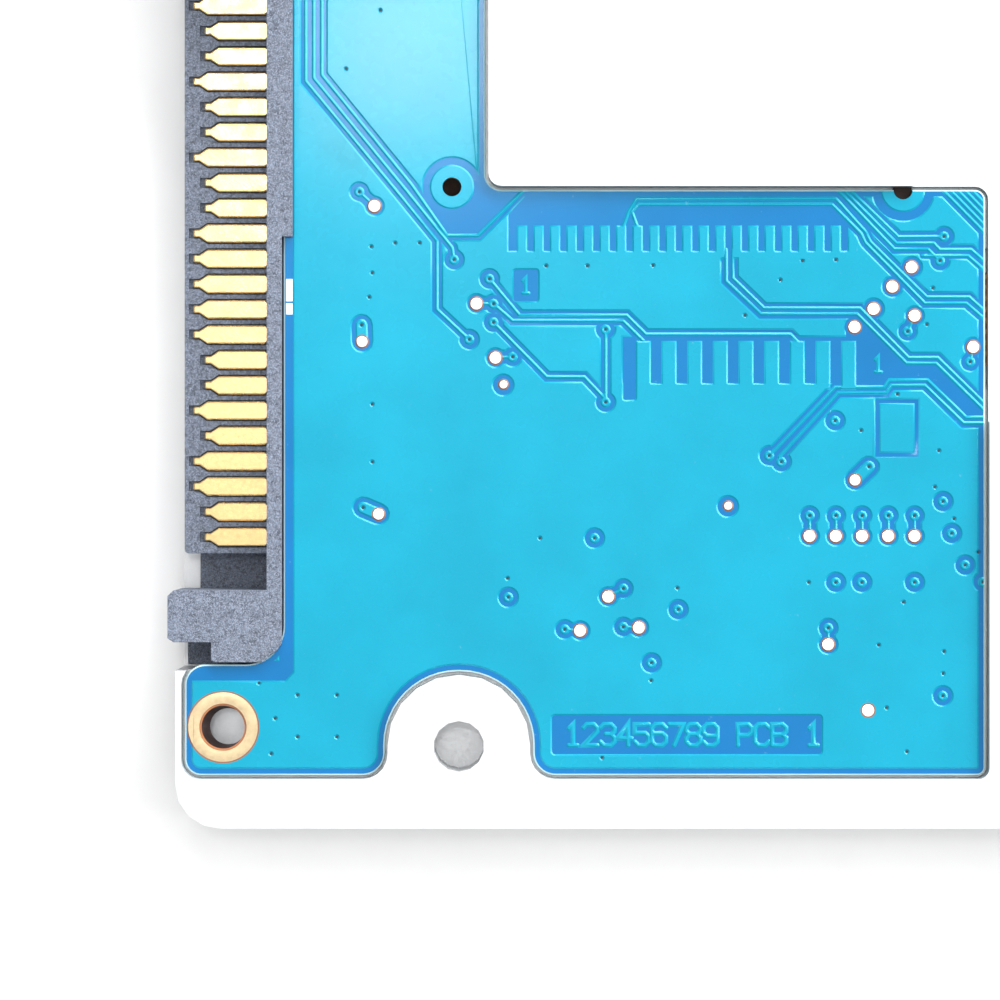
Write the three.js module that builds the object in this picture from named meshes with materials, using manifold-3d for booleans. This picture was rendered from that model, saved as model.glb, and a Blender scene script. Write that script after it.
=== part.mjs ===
// A 2.5-inch, 7 mm hard disk drive, lying on its top cover with its circuit board upwards.
// Millimetres. +Z is up, towards the board side; +X runs from the connector end to the far end.
// The origin is the middle of the whole object's footprint, on the plane of the top cover's outer face.
import * as THREE from "three";
import { mergeVertices } from "three/addons/utils/BufferGeometryUtils.js";
import Module from "manifold-3d";

const wasm = await Module();
wasm.setup();

// ---------------------------------------------------------------- driving dimensions
const OVERALL_LENGTH = 100.2;
const OVERALL_WIDTH = 69.85;
const HEIGHT = 7;
const FAR_END = OVERALL_LENGTH / 2;
const TONGUE_GUIDE_END = -OVERALL_LENGTH / 2;
const BODY_END = TONGUE_GUIDE_END + 0.4; // the casting's connector end, from which the mounting holes are measured
const SIDE = OVERALL_WIDTH / 2;

// The form factor's M3 mounting holes.
const HOLE_ROWS = [BODY_END + 14, BODY_END + 90.6];
const BOTTOM_HOLE_Y = 30.86;
const SIDE_HOLE_DROP = 3; // axis below the mounting plane
const M3_CORE = 1.25; // radius of the tapped hole

// Levels, from the resting plane up.
const COVER_SHEET = 0.5;
const GASKET_HEIGHT = 0.4;
const CHAMBER_ROOF = 4.3; // inner face of the casting's floor
const POCKET_FLOOR = 4.85; // under the board, where its chips reach down
const BOARD_UNDER = 5.65;
const BOARD_THICKNESS = 0.8;
const BOARD_TOP = BOARD_UNDER + BOARD_THICKNESS;
const PANEL_TOP = 6.45; // sunken panel round the motor
const RUNNING_GAP = 0.05;

// Disk stack.
const SPINDLE = new THREE.Vector2(15.5, 0);
const PLATTER_RADIUS = 32.5;
const PLATTER_BORE = 10.05;
const PLATTER_LOW = 1.9;
const PLATTER_THICKNESS = 0.65;
const PLATTER_HIGH = PLATTER_LOW + PLATTER_THICKNESS;
const PLATTER_MID = (PLATTER_LOW + PLATTER_HIGH) / 2;
const CHAMBER_RADIUS = PLATTER_RADIUS + 0.5;

// Actuator. At rest the heads are parked on the ramp.
const PIVOT = new THREE.Vector2(-20.5, 13.5);
const PARK_ANGLE = THREE.MathUtils.degToRad(-80);
const HEAD_REACH = 35;
const COIL_LOW = 1.75;
const COIL_HIGH = 2.75;
const YOKE_REACH = 17.6;

// Connector: one row of contacts on one pitch, power first and then signal, on a single tongue.
const PITCH = 1.27;
const POWER_CONTACTS = 15;
const SIGNAL_CONTACTS = 7;
const FIRST_CONTACT_Y = -20.56; // the power contact nearest the side
const TONGUE_MARGIN = 0.82;
const CONTACT_WIDTH = 0.94;
const TONGUE_THICKNESS = 1.23;
const TONGUE_FACE = 3.63;
const TONGUE_FRONT = -49.5;
const HOUSING_FACE = -45.2; // front of the housing's rear wall
const HOUSING_BACK = -44.46;
const HOUSING_TOP = 6.85;
const HOUSING_BOTTOM = 1.2;
const GUIDE_REACH = 4.38; // from an end contact's middle to its guide's middle
const LAST_CONTACT_Y = FIRST_CONTACT_Y + (POWER_CONTACTS + SIGNAL_CONTACTS - 1) * PITCH;
const MATING_SPAN = [FIRST_CONTACT_Y - GUIDE_REACH - 1.78, LAST_CONTACT_Y + GUIDE_REACH + 1.78];

// ---------------------------------------------------------------- finishes
function finish(color, roughness, metalness) {
  return new THREE.MeshStandardMaterial({ color, roughness, metalness });
}
const CAST_ALUMINIUM = finish(0xd9dcde, 0.45, 0.9);
const COVER_STEEL = finish(0xc2c6c9, 0.35, 0.95);
const SCREW_STEEL = finish(0x9a9da1, 0.3, 1);
const BRIGHT_STEEL = finish(0xcfd3d6, 0.2, 1);
const MAGNET_NICKEL = finish(0xa9adb0, 0.3, 1);
const GASKET_RUBBER = finish(0x1c1d1f, 0.85, 0);
const LABEL_PAPER = finish(0xf1f2ef, 0.6, 0);
const SOLDER_MASK = finish(0x2ab4dd, 0.35, 0);
const CONNECTOR_PLASTIC = finish(0x4a4d57, 0.7, 0);
const CHIP_EPOXY = finish(0x1f2123, 0.6, 0);
const GOLD_PLATE = finish(0xf2c65a, 0.28, 1);
const COPPER_WIRE = finish(0xb4662f, 0.35, 0.9);
const RAMP_PLASTIC = finish(0xe8e4d4, 0.5, 0);
const FLEX_FILM = finish(0xb0691f, 0.4, 0);
const FILTER_CLOTH = finish(0xeeeeea, 0.95, 0);
const PLATTER_MIRROR = finish(0xb9bcbf, 0.06, 1);

// ---------------------------------------------------------------- solids
function solid(geometry) {
  const bare = new THREE.BufferGeometry();
  bare.setAttribute("position", geometry.getAttribute("position"));
  bare.setIndex(geometry.getIndex());
  const merged = mergeVertices(bare, 1e-4);
  const index = merged.index.array;
  const kept = [];
  for (let i = 0; i < index.length; i += 3) {
    const [a, b, c] = [index[i], index[i + 1], index[i + 2]];
    if (a !== b && b !== c && c !== a) kept.push(a, b, c);
  }
  return new wasm.Manifold(
    new wasm.Mesh({
      numProp: 3,
      vertProperties: merged.attributes.position.array,
      triVerts: new Uint32Array(kept),
    }),
  );
}

function join(...solids) {
  return solids.reduce((a, b) => a.add(b));
}

function cut(body, ...tools) {
  return tools.reduce((a, b) => a.subtract(b), body);
}

// A named mesh from a solid, with flat-shaded faces.
function piece(name, body, material) {
  const { vertProperties, triVerts } = body.getMesh();
  const indexed = new THREE.BufferGeometry();
  indexed.setAttribute("position", new THREE.BufferAttribute(vertProperties, 3));
  indexed.setIndex(new THREE.BufferAttribute(triVerts, 1));
  const geometry = indexed.toNonIndexed();
  geometry.computeVertexNormals();
  const mesh = new THREE.Mesh(geometry, material);
  mesh.name = name;
  return mesh;
}

function block(x0, x1, y0, y1, z0, z1) {
  const box = new THREE.BoxGeometry(x1 - x0, y1 - y0, z1 - z0);
  return solid(box.translate((x0 + x1) / 2, (y0 + y1) / 2, (z0 + z1) / 2));
}

function disc(x, y, radius, z0, z1, sides = 24, topRadius = radius) {
  const drum = new THREE.CylinderGeometry(topRadius, radius, z1 - z0, sides);
  return solid(drum.rotateX(Math.PI / 2).translate(x, y, (z0 + z1) / 2));
}

// A prism of an outline, a list of Vector2, between two levels.
function prism(outline, z0, z1, holes = []) {
  const anticlockwise = (points) => (THREE.ShapeUtils.isClockWise(points) ? points.toReversed() : points);
  const shape = new THREE.Shape(anticlockwise(outline));
  shape.holes = holes.map((points) => new THREE.Path(anticlockwise(points)));
  const extruded = new THREE.ExtrudeGeometry(shape, { depth: z1 - z0, bevelEnabled: false });
  return solid(extruded.translate(0, 0, z0));
}

// A body turned about a vertical axis at the origin; the profile is a list of [radius, z].
function turned(profile, sides) {
  const points = profile.map(([r, z]) => new THREE.Vector2(r, z));
  if (profile[0][0] > 0) points.push(points[0].clone());
  const made = solid(new THREE.LatheGeometry(points, sides).rotateX(Math.PI / 2));
  if (made.volume() > 0) return made;
  points.reverse();
  return solid(new THREE.LatheGeometry(points, sides).rotateX(Math.PI / 2));
}

// An outline with rounded corners: each corner is [x, y, radius], in order round the outline.
function rounded(corners, steps = 4) {
  const outline = [];
  corners.forEach(([x, y, radius = 0], i) => {
    const corner = new THREE.Vector2(x, y);
    if (radius === 0) {
      outline.push(corner);
      return;
    }
    const [bx, by] = corners[(i + corners.length - 1) % corners.length];
    const [ax, ay] = corners[(i + 1) % corners.length];
    const back = new THREE.Vector2(bx, by).sub(corner).normalize();
    const ahead = new THREE.Vector2(ax, ay).sub(corner).normalize();
    const half = Math.acos(back.dot(ahead)) / 2;
    const sense = Math.sign(ahead.cross(back));
    const centre = back.clone().add(ahead).normalize().multiplyScalar(radius / Math.sin(half)).add(corner);
    const start = back.multiplyScalar(radius / Math.tan(half)).add(corner).sub(centre);
    const turn = Math.PI - 2 * half;
    for (let k = 0; k <= steps; k++) {
      outline.push(start.clone().rotateAround(new THREE.Vector2(), (sense * turn * k) / steps).add(centre));
    }
  });
  return outline;
}

function rectangle(x0, x1, y0, y1, radius = 0, steps = 4) {
  return rounded([[x0, y0, radius], [x1, y0, radius], [x1, y1, radius], [x0, y1, radius]], steps);
}

// The outline moved outwards by a distance; the outline runs anticlockwise.
function grown(outline, distance) {
  return outline.map((point, i) => {
    const before = outline[(i + outline.length - 1) % outline.length];
    const after = outline[(i + 1) % outline.length];
    const d1 = point.clone().sub(before).normalize();
    const d2 = after.clone().sub(point).normalize();
    const n1 = new THREE.Vector2(d1.y, -d1.x);
    const n2 = new THREE.Vector2(d2.y, -d2.x);
    const mitre = n1.clone().add(n2).normalize();
    return mitre.multiplyScalar(distance / mitre.dot(n1)).add(point);
  });
}

function polar(radius, degrees, centre = new THREE.Vector2()) {
  const angle = THREE.MathUtils.degToRad(degrees);
  return new THREE.Vector2(radius * Math.cos(angle), radius * Math.sin(angle)).add(centre);
}

// A sector of a ring about the origin, as an anticlockwise outline.
function sector(inner, outer, from, to, steps) {
  const outline = [];
  for (let k = 0; k <= steps; k++) outline.push(polar(outer, from + ((to - from) * k) / steps));
  for (let k = steps; k >= 0; k--) outline.push(polar(inner, from + ((to - from) * k) / steps));
  return outline;
}

// A pan-head screw along Z, its head's crown at z 0 and its thread running up, with a six-lobe socket.
function screw(headRadius, headHeight, shankRadius, length) {
  const crown = headHeight * 0.25;
  const body = turned([
    [0, 0], [headRadius - crown, 0], [headRadius, crown], [headRadius, headHeight],
    [shankRadius, headHeight], [shankRadius, length], [0, length],
  ], 14);
  return cut(body, disc(0, 0, headRadius * 0.42, -1, headHeight * 0.7, 6));
}

// ---------------------------------------------------------------- outlines
// The sealed chamber: the platter's round pocket and the actuator's bay beside it.
function chamberOutline() {
  const meets = 128;
  const steps = 26;
  const arc = [];
  for (let k = 0; k <= steps; k++) {
    const { x, y } = polar(CHAMBER_RADIUS, -meets + (2 * meets * k) / steps, SPINDLE);
    arc.push([x, y, k === 0 || k === steps ? 1.5 : 0]);
  }
  return rounded([
    ...arc, [-8, 27.2, 1.5], [-8, 33, 1.5], [-32.2, 33, 1.2], [-32.2, 29.4, 1.5], [-33.8, 27, 1.5], [-42.6, 27, 1.5],
    [-42.6, -26.4, 1.5], [-30.8, -26.4, 1.5], [-30.8, -32.4, 1.2], [-8, -32.4, 1.5], [-8, -27.2, 1.5],
  ], 2);
}

// The board: a wide part at one side, and a leg that runs along the connector to the other side.
const BOARD_LEFT = -49.26;
const BOARD_RIGHT = -9.66;
const BOARD_BOTTOM = -32.32;
const BOARD_MAIN_TOP = -3.35;
const BOARD_LEG_RIGHT = -34.4;
const BOARD_BEHIND_CONNECTOR = -44.38;
const NOTCH_RADIUS = 3.68;
function boardOutline() {
  const notchLeft = HOLE_ROWS[0] - NOTCH_RADIUS;
  const notchRight = HOLE_ROWS[0] + NOTCH_RADIUS;
  const notchTop = BOTTOM_HOLE_Y - NOTCH_RADIUS;
  const arc = NOTCH_RADIUS - 0.06;
  return rounded([
    [BOARD_LEFT, BOARD_BOTTOM, 0.8],
    [notchLeft, BOARD_BOTTOM, 1.1], [notchLeft, -notchTop, arc],
    [notchRight, -notchTop, arc], [notchRight, BOARD_BOTTOM, 1.1],
    [BOARD_RIGHT, BOARD_BOTTOM, 0.4], [BOARD_RIGHT, BOARD_MAIN_TOP, 0.5],
    [BOARD_LEG_RIGHT, BOARD_MAIN_TOP, 0.8],
    [BOARD_LEG_RIGHT, notchTop, 0.5], [notchLeft, notchTop, arc], [notchLeft, -BOARD_BOTTOM, 1.1],
    [BOARD_LEFT, -BOARD_BOTTOM, 0.8], [BOARD_LEFT, 12.4, 1],
    [BOARD_BEHIND_CONNECTOR, 12.4, 0.4], [BOARD_BEHIND_CONNECTOR, -26.85, 1.05],
    [BOARD_LEFT, -26.85, 1],
  ], 5);
}
const CORNER_HOLE = [-47.38, -29.94];
const BOARD_SCREWS = [[-47.38, 29.94], [-37.3, 22.4]];
const LOCATING_HOLE = [-36.05, -3.2];
const LOCATING_NOTCH = [-13.72, BOARD_MAIN_TOP];

// ---------------------------------------------------------------- fixed parts
const COVER_SCREWS = [[-46.9, 31.5], [-46.9, -31.3], [-3.4, 31.3], [-3.4, -31.3], [46.8, 31.6], [46.8, -31.6]];
const DIMPLE_RADIUS = 2.4;
const DIMPLE_DEPTH = 0.3;
const GROOVE_INSET = 0.55;
const GASKET_WIDTH = 0.6;

function gasketBand(extra) {
  const outer = grown(chamberOutline(), GROOVE_INSET + GASKET_WIDTH + extra);
  const inner = grown(chamberOutline(), GROOVE_INSET - extra);
  return prism(outer, COVER_SHEET, COVER_SHEET + GASKET_HEIGHT + extra, [inner]);
}

function baseCasting() {
  const shell = prism(rectangle(BODY_END, FAR_END, -SIDE, SIDE, 2.2), COVER_SHEET, HEIGHT);
  const chamber = prism(chamberOutline(), COVER_SHEET - 1, CHAMBER_ROOF);
  const cuts = [chamber, gasketBand(RUNNING_GAP), ...boardSide(), motorSeat()];
  for (const [x, y] of COVER_SCREWS) {
    cuts.push(disc(x, y, DIMPLE_RADIUS + 0.15, COVER_SHEET - 1, COVER_SHEET + DIMPLE_DEPTH + RUNNING_GAP, 14));
    cuts.push(disc(x, y, 0.85, 0, 3.4, 10));
  }
  for (const [x, y] of BOARD_SCREWS) cuts.push(disc(x, y, 0.85, 4.4, HEIGHT, 10));
  cuts.push(disc(...CORNER_HOLE, 1.05, 3.9, HEIGHT, 20));
  for (const x of HOLE_ROWS) {
    for (const side of [-1, 1]) {
      cuts.push(disc(x, side * BOTTOM_HOLE_Y, M3_CORE, HEIGHT - 3, HEIGHT + 1, 14));
      const bore = new THREE.CylinderGeometry(M3_CORE, M3_CORE, 6, 14);
      cuts.push(solid(bore.translate(x, side * (SIDE + 0.5), HEIGHT - SIDE_HOLE_DROP)));
    }
  }
  const bosses = [stiffeners(), pivotBoss(), motorBoss()];
  const body = join(cut(shell, ...cuts), ...bosses);
  return cut(body, disc(SPINDLE.x, SPINDLE.y, 3.45, 3, HEIGHT + 1, 24));
}

// What is cut from the board side: the board's recess, pockets for its chips, the connector's bay and the panel.
function boardSide() {
  const recess = prism(grown(boardOutline(), 0.16), BOARD_UNDER, HEIGHT + 1);
  const mainPocket = prism(rectangle(-31.2, -10.6, -29.4, -4.6, 1), POCKET_FLOOR, HEIGHT);
  const legPocket = prism(rectangle(-44, -35, -24.6, 14.6, 1), POCKET_FLOOR, HEIGHT);
  const connectorBay = block(BODY_END - 1, -43.85, MATING_SPAN[0] - 0.4, MATING_SPAN[1] + 0.4,
    HOUSING_BOTTOM - 0.1, HEIGHT + 1);
  const panel = disc(SPINDLE.x + 1, 0, 30, PANEL_TOP, HEIGHT + 1, 44);
  const panelSide = block(-7.4, SPINDLE.x, -22, 22, PANEL_TOP, HEIGHT + 1);
  // The motor's strip dives under the casting's rim and climbs onto the panel.
  const tunnel = block(-13.5, -7.2, -13.2, -6.2, BOARD_UNDER - 0.35, BOARD_UNDER + 0.1);
  const climb = block(-7.9, -5.6, -13.2, -6.2, BOARD_UNDER - 0.35, HEIGHT + 1);
  return [recess, mainPocket, legPocket, connectorBay, panel, panelSide, tunnel, climb];
}

// The round recess under the hub that holds the stator.
function motorSeat() {
  return disc(SPINDLE.x, SPINDLE.y, 11, 3, 5.4, 32);
}

function motorBoss() {
  const collar = disc(SPINDLE.x, SPINDLE.y, 4.6, 3.9, 5.5, 24);
  const ring = cut(disc(SPINDLE.x, 0, 12.4, PANEL_TOP - 0.2, PANEL_TOP + 0.3, 36),
    disc(SPINDLE.x, 0, 11.2, PANEL_TOP - 1, HEIGHT, 36),
    block(-20, SPINDLE.x, -12.9, -6.5, PANEL_TOP, HEIGHT));
  const nub = disc(SPINDLE.x, 0, 5.2, PANEL_TOP - 0.2, PANEL_TOP + 0.15, 24);
  return join(collar, ring, nub);
}

function pivotBoss() {
  return disc(PIVOT.x, PIVOT.y, 2.6, CHAMBER_ROOF - 0.15, CHAMBER_ROOF + 0.3, 20);
}

// Ribs that run from the motor's ring to the edge of the sunken panel.
function stiffeners() {
  const ribs = [];
  for (const degrees of [0, 45, 90, 270, 315]) {
    const rib = block(12, 31.4, -0.6, 0.6, PANEL_TOP - 0.2, PANEL_TOP + 0.3);
    ribs.push(rib.rotate([0, 0, degrees]).translate([SPINDLE.x, 0, 0]));
  }
  return join(...ribs);
}

// Stands across the air stream in the corner of the bay.
function airFilter() {
  return prism(rectangle(-29.4, -21.6, -31.9, -30.2, 0.5, 3), 0.7, 4);
}

const LABEL = rectangle(-38, 44, -29, 29, 2);
const LABEL_RECESS = 0.15;
const BREATHER = [-37.5, -16];

function topCover() {
  const sheet = prism(rectangle(BODY_END + 0.35, FAR_END - 0.35, -SIDE + 0.35, SIDE - 0.35, 2), 0, COVER_SHEET);
  const dimples = COVER_SCREWS.map(([x, y]) =>
    disc(x, y, DIMPLE_RADIUS, COVER_SHEET - 0.1, COVER_SHEET + DIMPLE_DEPTH, 14));
  const cuts = [prism(grown(LABEL, 0.2), -1, LABEL_RECESS), disc(...BREATHER, 0.7, -1, 1, 10)];
  for (const [x, y] of COVER_SCREWS) {
    cuts.push(disc(x, y, 1.95, -1, COVER_SHEET, 14), disc(x, y, 0.95, -1, 1, 10));
  }
  return cut(join(sheet, ...dimples), ...cuts);
}

function coverLabel() {
  const z = 0.04;
  const holes = [disc(...BREATHER, 1, -1, 1, 12)];
  return cut(prism(LABEL, z, z + 0.1), ...holes);
}

function circuitBoard() {
  return cut(
    prism(boardOutline(), BOARD_UNDER, BOARD_TOP),
    disc(...CORNER_HOLE, 1.17, 0, HEIGHT, 20),
    ...BOARD_SCREWS.map(([x, y]) => disc(x, y, 1.1, 0, HEIGHT, 16)),
    disc(...LOCATING_HOLE, 0.47, 0, HEIGHT, 12),
    disc(...LOCATING_NOTCH, 0.47, 0, HEIGHT, 12),
  );
}

// ---------------------------------------------------------------- connector
// Contacts in the order of their Y, each with how far forward its nose reaches.
const EARLY_NOSE = -49.06;
const LATE_NOSE = -48.5;
const POWER_EARLY = [3, 4, 5, 6, 7, 10, 12, 13];
const SIGNAL_EARLY = [1, 4, 7];

function contactList() {
  const list = [];
  for (let i = 0; i < POWER_CONTACTS; i++) {
    const number = POWER_CONTACTS - i;
    const nose = POWER_EARLY.includes(number) ? EARLY_NOSE : LATE_NOSE;
    list.push({ name: `power_contact_${number}`, y: FIRST_CONTACT_Y + i * PITCH, nose });
  }
  for (let i = 0; i < SIGNAL_CONTACTS; i++) {
    const number = SIGNAL_CONTACTS - i;
    const nose = SIGNAL_EARLY.includes(number) ? EARLY_NOSE : LATE_NOSE;
    list.push({ name: `signal_contact_${number}`, y: FIRST_CONTACT_Y + (POWER_CONTACTS + i) * PITCH, nose });
  }
  return list;
}

// A contact's outline from above: a blade with a tapered nose, running back to a given X.
function bladeOutline(nose, y, back, spare, ahead = 0) {
  const half = CONTACT_WIDTH / 2 + spare;
  const tip = 0.2 + spare;
  const shoulder = HOUSING_FACE - 0.22;
  const side = [[nose - ahead, tip], [nose + 0.3, tip], [nose + 0.7, half], [shoulder, half],
    [HOUSING_FACE - 0.04, half - 0.15], [back, half - 0.15]];
  return [...side.map(([px, py]) => [px, -py]), ...side.reverse()].map(([px, py]) => new THREE.Vector2(px, y + py));
}

const BLADE_TOP = TONGUE_FACE + 0.1; // the contacts stand a little proud of the tongue
const BLADE_LOW = TONGUE_FACE - 0.2;
const TAIL_X = -44.3;
function contact({ name, y, nose }) {
  const blade = prism(bladeOutline(nose, y, TAIL_X + 0.2, 0), BLADE_LOW, BLADE_TOP);
  const half = CONTACT_WIDTH / 2 - 0.15;
  const riser = block(TAIL_X, TAIL_X + 0.2, y - half, y + half, BLADE_LOW, BOARD_UNDER - 0.05);
  const foot = block(TAIL_X, TAIL_X + 1.1, y - half, y + half, BOARD_UNDER - 0.25, BOARD_UNDER - 0.05);
  return piece(name, join(blade, riser, foot), GOLD_PLATE);
}

function connectorHousing() {
  const contacts = contactList();
  const low = FIRST_CONTACT_Y - TONGUE_MARGIN;
  const high = LAST_CONTACT_Y + TONGUE_MARGIN;
  const tongue = prism(
    rounded([[TONGUE_FRONT, low, 0.2], [HOUSING_FACE + 0.1, low], [HOUSING_FACE + 0.1, high], [TONGUE_FRONT, high, 0.2]], 3),
    TONGUE_FACE - TONGUE_THICKNESS, TONGUE_FACE);
  const wall = block(HOUSING_FACE, HOUSING_BACK, MATING_SPAN[0] + 0.99, MATING_SPAN[1] - 0.99,
    HOUSING_BOTTOM, HOUSING_TOP);
  const lip = block(HOUSING_BACK - 0.1, -43.92, -5.68, MATING_SPAN[1] - 0.99, BOARD_TOP + 0.05, HOUSING_TOP);
  const sill = block(-48.86, HOUSING_FACE + 0.1, MATING_SPAN[0] + 1.2, MATING_SPAN[1] - 1.2,
    HOUSING_BOTTOM, HOUSING_BOTTOM + 0.35);
  const flange = (end, side) => block(-49.5, -45, Math.min(end, end + side * 2), Math.max(end, end + side * 2),
    HOUSING_BOTTOM, HOUSING_BOTTOM + 0.35);
  const body = join(
    wall, lip, sill, flange(MATING_SPAN[0] - 0.3, 1), flange(MATING_SPAN[1] + 0.3, -1), tongue, guide(-1, FIRST_CONTACT_Y - GUIDE_REACH), guide(1, LAST_CONTACT_Y + GUIDE_REACH),
  );
  const seats = contacts.map(({ y, nose }) =>
    prism(bladeOutline(nose, y, HOUSING_BACK + 0.2, 0.05, 0.22), BLADE_LOW - 0.06, BLADE_TOP + 0.06));
  return cut(body, ...seats);
}

// The arm at each end that leads the mating plug in, with its step and its chamfered back corner.
function guide(side, y) {
  const outline = [
    [TONGUE_GUIDE_END, -0.6], [TONGUE_GUIDE_END + 0.3, -0.79], [-47.95, -0.79], [-47.95, -1.68], [-47.75, -1.78],
    [-45.4, -1.78], [-44.95, -1.35], [-44.7, -1.2], [HOUSING_BACK, -0.85],
    [HOUSING_BACK, 1.78], [TONGUE_GUIDE_END + 0.3, 1.78], [TONGUE_GUIDE_END, 1.5],
  ].map(([px, py]) => new THREE.Vector2(px, y - side * py));
  return prism(outline, HOUSING_BOTTOM, HOUSING_TOP);
}

// ---------------------------------------------------------------- spindle motor and disk
function bearingSleeve() {
  return turned([[0, 6.1], [1.25, 6.1], [1.25, 2.35], [3.1, 2.35], [3.4, 2.65], [3.4, 6.2], [3.1, 6.5], [0, 6.5]], 24);
}

const TEETH = 9;
function motorStator() {
  const core = cut(disc(0, 0, 6, 4.35, 4.95, 27), disc(0, 0, 4.75, 3, 6, 27));
  const parts = [core];
  for (let k = 0; k < TEETH; k++) {
    const tooth = join(
      block(5.6, 8, -0.4, 0.4, 4.35, 4.95),
      prism(sector(7.8, 8.3, -13, 13, 2), 4.35, 4.95),
      block(6.15, 7.6, -0.9, 0.9, 3.95, 5.3),
    );
    parts.push(tooth.rotate([0, 0, (360 * k) / TEETH]));
  }
  return join(...parts);
}

function spindleHub() {
  const hub = turned([
    [0, 1.5], [5.6, 1.5], [6.4, 1.8], [9.95, 1.8], [9.95, 2.55], [12.2, 2.55], [12.2, 3.1], [10.4, 3.3], [10.4, 4.9],
    [9.35, 4.9], [9.35, 2.6], [8.9, 2.25], [1.2, 2.25], [1.2, 6], [0, 6],
  ], 28);
  return cut(hub, disc(0, 0, 0.56, 1, 3.6, 12));
}

function rotorMagnet() {
  return turned([[8.6, 3.6], [9.3, 3.6], [9.3, 4.85], [8.6, 4.85]], 28);
}

function platter() {
  return turned([
    [PLATTER_BORE, PLATTER_LOW], [PLATTER_RADIUS - 0.1, PLATTER_LOW], [PLATTER_RADIUS, PLATTER_LOW + 0.1],
    [PLATTER_RADIUS, PLATTER_HIGH - 0.1], [PLATTER_RADIUS - 0.1, PLATTER_HIGH], [PLATTER_BORE, PLATTER_HIGH],
  ], 48);
}

function diskClamp() {
  const dish = turned([
    [0.6, 1.15], [6, 1.15], [7.4, 1.35], [10.6, 1.35], [11.4, 1.5], [11.4, 1.75], [11.1, PLATTER_LOW], [10.5, PLATTER_LOW],
    [10.2, 1.7], [7.2, 1.7], [6, 1.46], [0.6, 1.46],
  ], 28);
  const balanceHoles = [];
  for (let k = 0; k < 6; k++) {
    const { x, y } = polar(8.8, 60 * k + 30);
    balanceHoles.push(disc(x, y, 0.8, 0, 3, 8));
  }
  return cut(dish, ...balanceHoles);
}

// ---------------------------------------------------------------- actuator
// Drawn in its own frame: the pivot at the origin, the arms along +X and the coil towards -X.
const BARREL_RADIUS = 5;
const ARM_TIP = 23;
const ARM_THICKNESS = 0.55;
const LOWER_ARM = 0.95; // under side of the arm nearer the cover
const UPPER_ARM = 2 * PLATTER_MID - LOWER_ARM - ARM_THICKNESS;

function actuatorArm() {
  const barrel = disc(0, 0, BARREL_RADIUS, LOWER_ARM, 2 * PLATTER_MID - LOWER_ARM, 24);
  const armShape = rounded([[2, -4.6, 1], [ARM_TIP, -2, 1.6], [ARM_TIP, 2, 1.6], [2, 4.6, 1]], 4);
  const window = rounded([[8.4, -2.1, 0.6], [16.5, -0.9, 0.5], [16.5, 0.9, 0.5], [8.4, 2.1, 0.6]], 3);
  const arm = (z) => prism(armShape, z, z + ARM_THICKNESS, [window]);
  const body = join(barrel, arm(LOWER_ARM), arm(UPPER_ARM), coilFork());
  return cut(body, disc(0, 0, 3.5, 0, 5, 24), disc(20.6, 0, 1, 0, 5, 12));
}

function coilFork() {
  const prong = (side, tip) => {
    const outline = [
      [-2.5, 2.4], [-2.5, 4.2], [-5.6, 5.6], [-15.4, 6.9], ...tip, [-15.6, 5.4], [-7.3, 3.6], [-5.2, 1.4],
    ].map(([x, y]) => new THREE.Vector2(x, side * y));
    return prism(outline, COIL_LOW, COIL_HIGH);
  };
  const latchNose = [[-16.2, 6.5], [-16.35, 5.9]];
  return join(prong(1, latchNose), prong(-1, []), block(-6.6, -4, -2.4, 2.4, COIL_LOW, COIL_HIGH));
}

function voiceCoil() {
  const outer = rounded([[-7.1, -3.2, 1.2], [-7.1, 3.2, 1.2], [-15.7, 5, 1.6], [-15.7, -5, 1.6]], 4);
  const inner = rounded([[-9.4, -1.4, 0.5], [-9.4, 1.4, 0.5], [-13.4, 2.3, 0.5], [-13.4, -2.3, 0.5]], 3);
  return prism(outer, COIL_LOW, COIL_HIGH, [inner]);
}

function pivotBearing() {
  return turned([[1.7, 1.05], [3.2, 1.05], [3.4, 1.25], [3.4, 3.2], [3.2, 3.4], [1.7, 3.4]], 24);
}

// A load beam with its lift tab, and the slider at its tip on the side that faces the platter.
function headSuspension(facing) {
  const mirrored = (z) => (facing > 0 ? z : 2 * PLATTER_MID - z);
  const slab = (outline, a, b) => prism(outline, Math.min(mirrored(a), mirrored(b)), Math.max(mirrored(a), mirrored(b)));
  const beam = rounded([[18.8, -1.8, 0.5], [23.5, -1.8, 0.8], [34.4, -0.6, 0.2], [34.4, 0.6, 0.2], [23.5, 1.8, 0.8],
    [18.8, 1.8, 0.5]], 3);
  const swage = disc(20.6, 0, 0.94, Math.min(mirrored(1.3), mirrored(1.6)), Math.max(mirrored(1.3), mirrored(1.6)), 12);
  return join(
    slab(beam, 1.53, 1.63),
    slab(rectangle(34.2, 37.6, -0.3, 0.3, 0.25, 3), 1.53, 1.63),
    slab(rectangle(HEAD_REACH - 0.6, HEAD_REACH + 0.6, -0.5, 0.5), 1.6, 1.86),
    swage,
  );
}

function pivotPost() {
  return turned([[0, 0.62], [2.2, 0.62], [2.2, 0.95], [1.6, 1.02], [1.6, 3.5], [2.4, 3.62], [2.4, 4.1], [0, 4.1]], 20);
}

// ---------------------------------------------------------------- magnets, ramp, latch and flex
// Both yokes, the magnet and the ramp are drawn about the actuator's pivot.
function lowerYoke() {
  return prism(sector(7.6, YOKE_REACH, 74, 166, 16), 3.6, CHAMBER_ROOF - 0.05);
}

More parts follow.
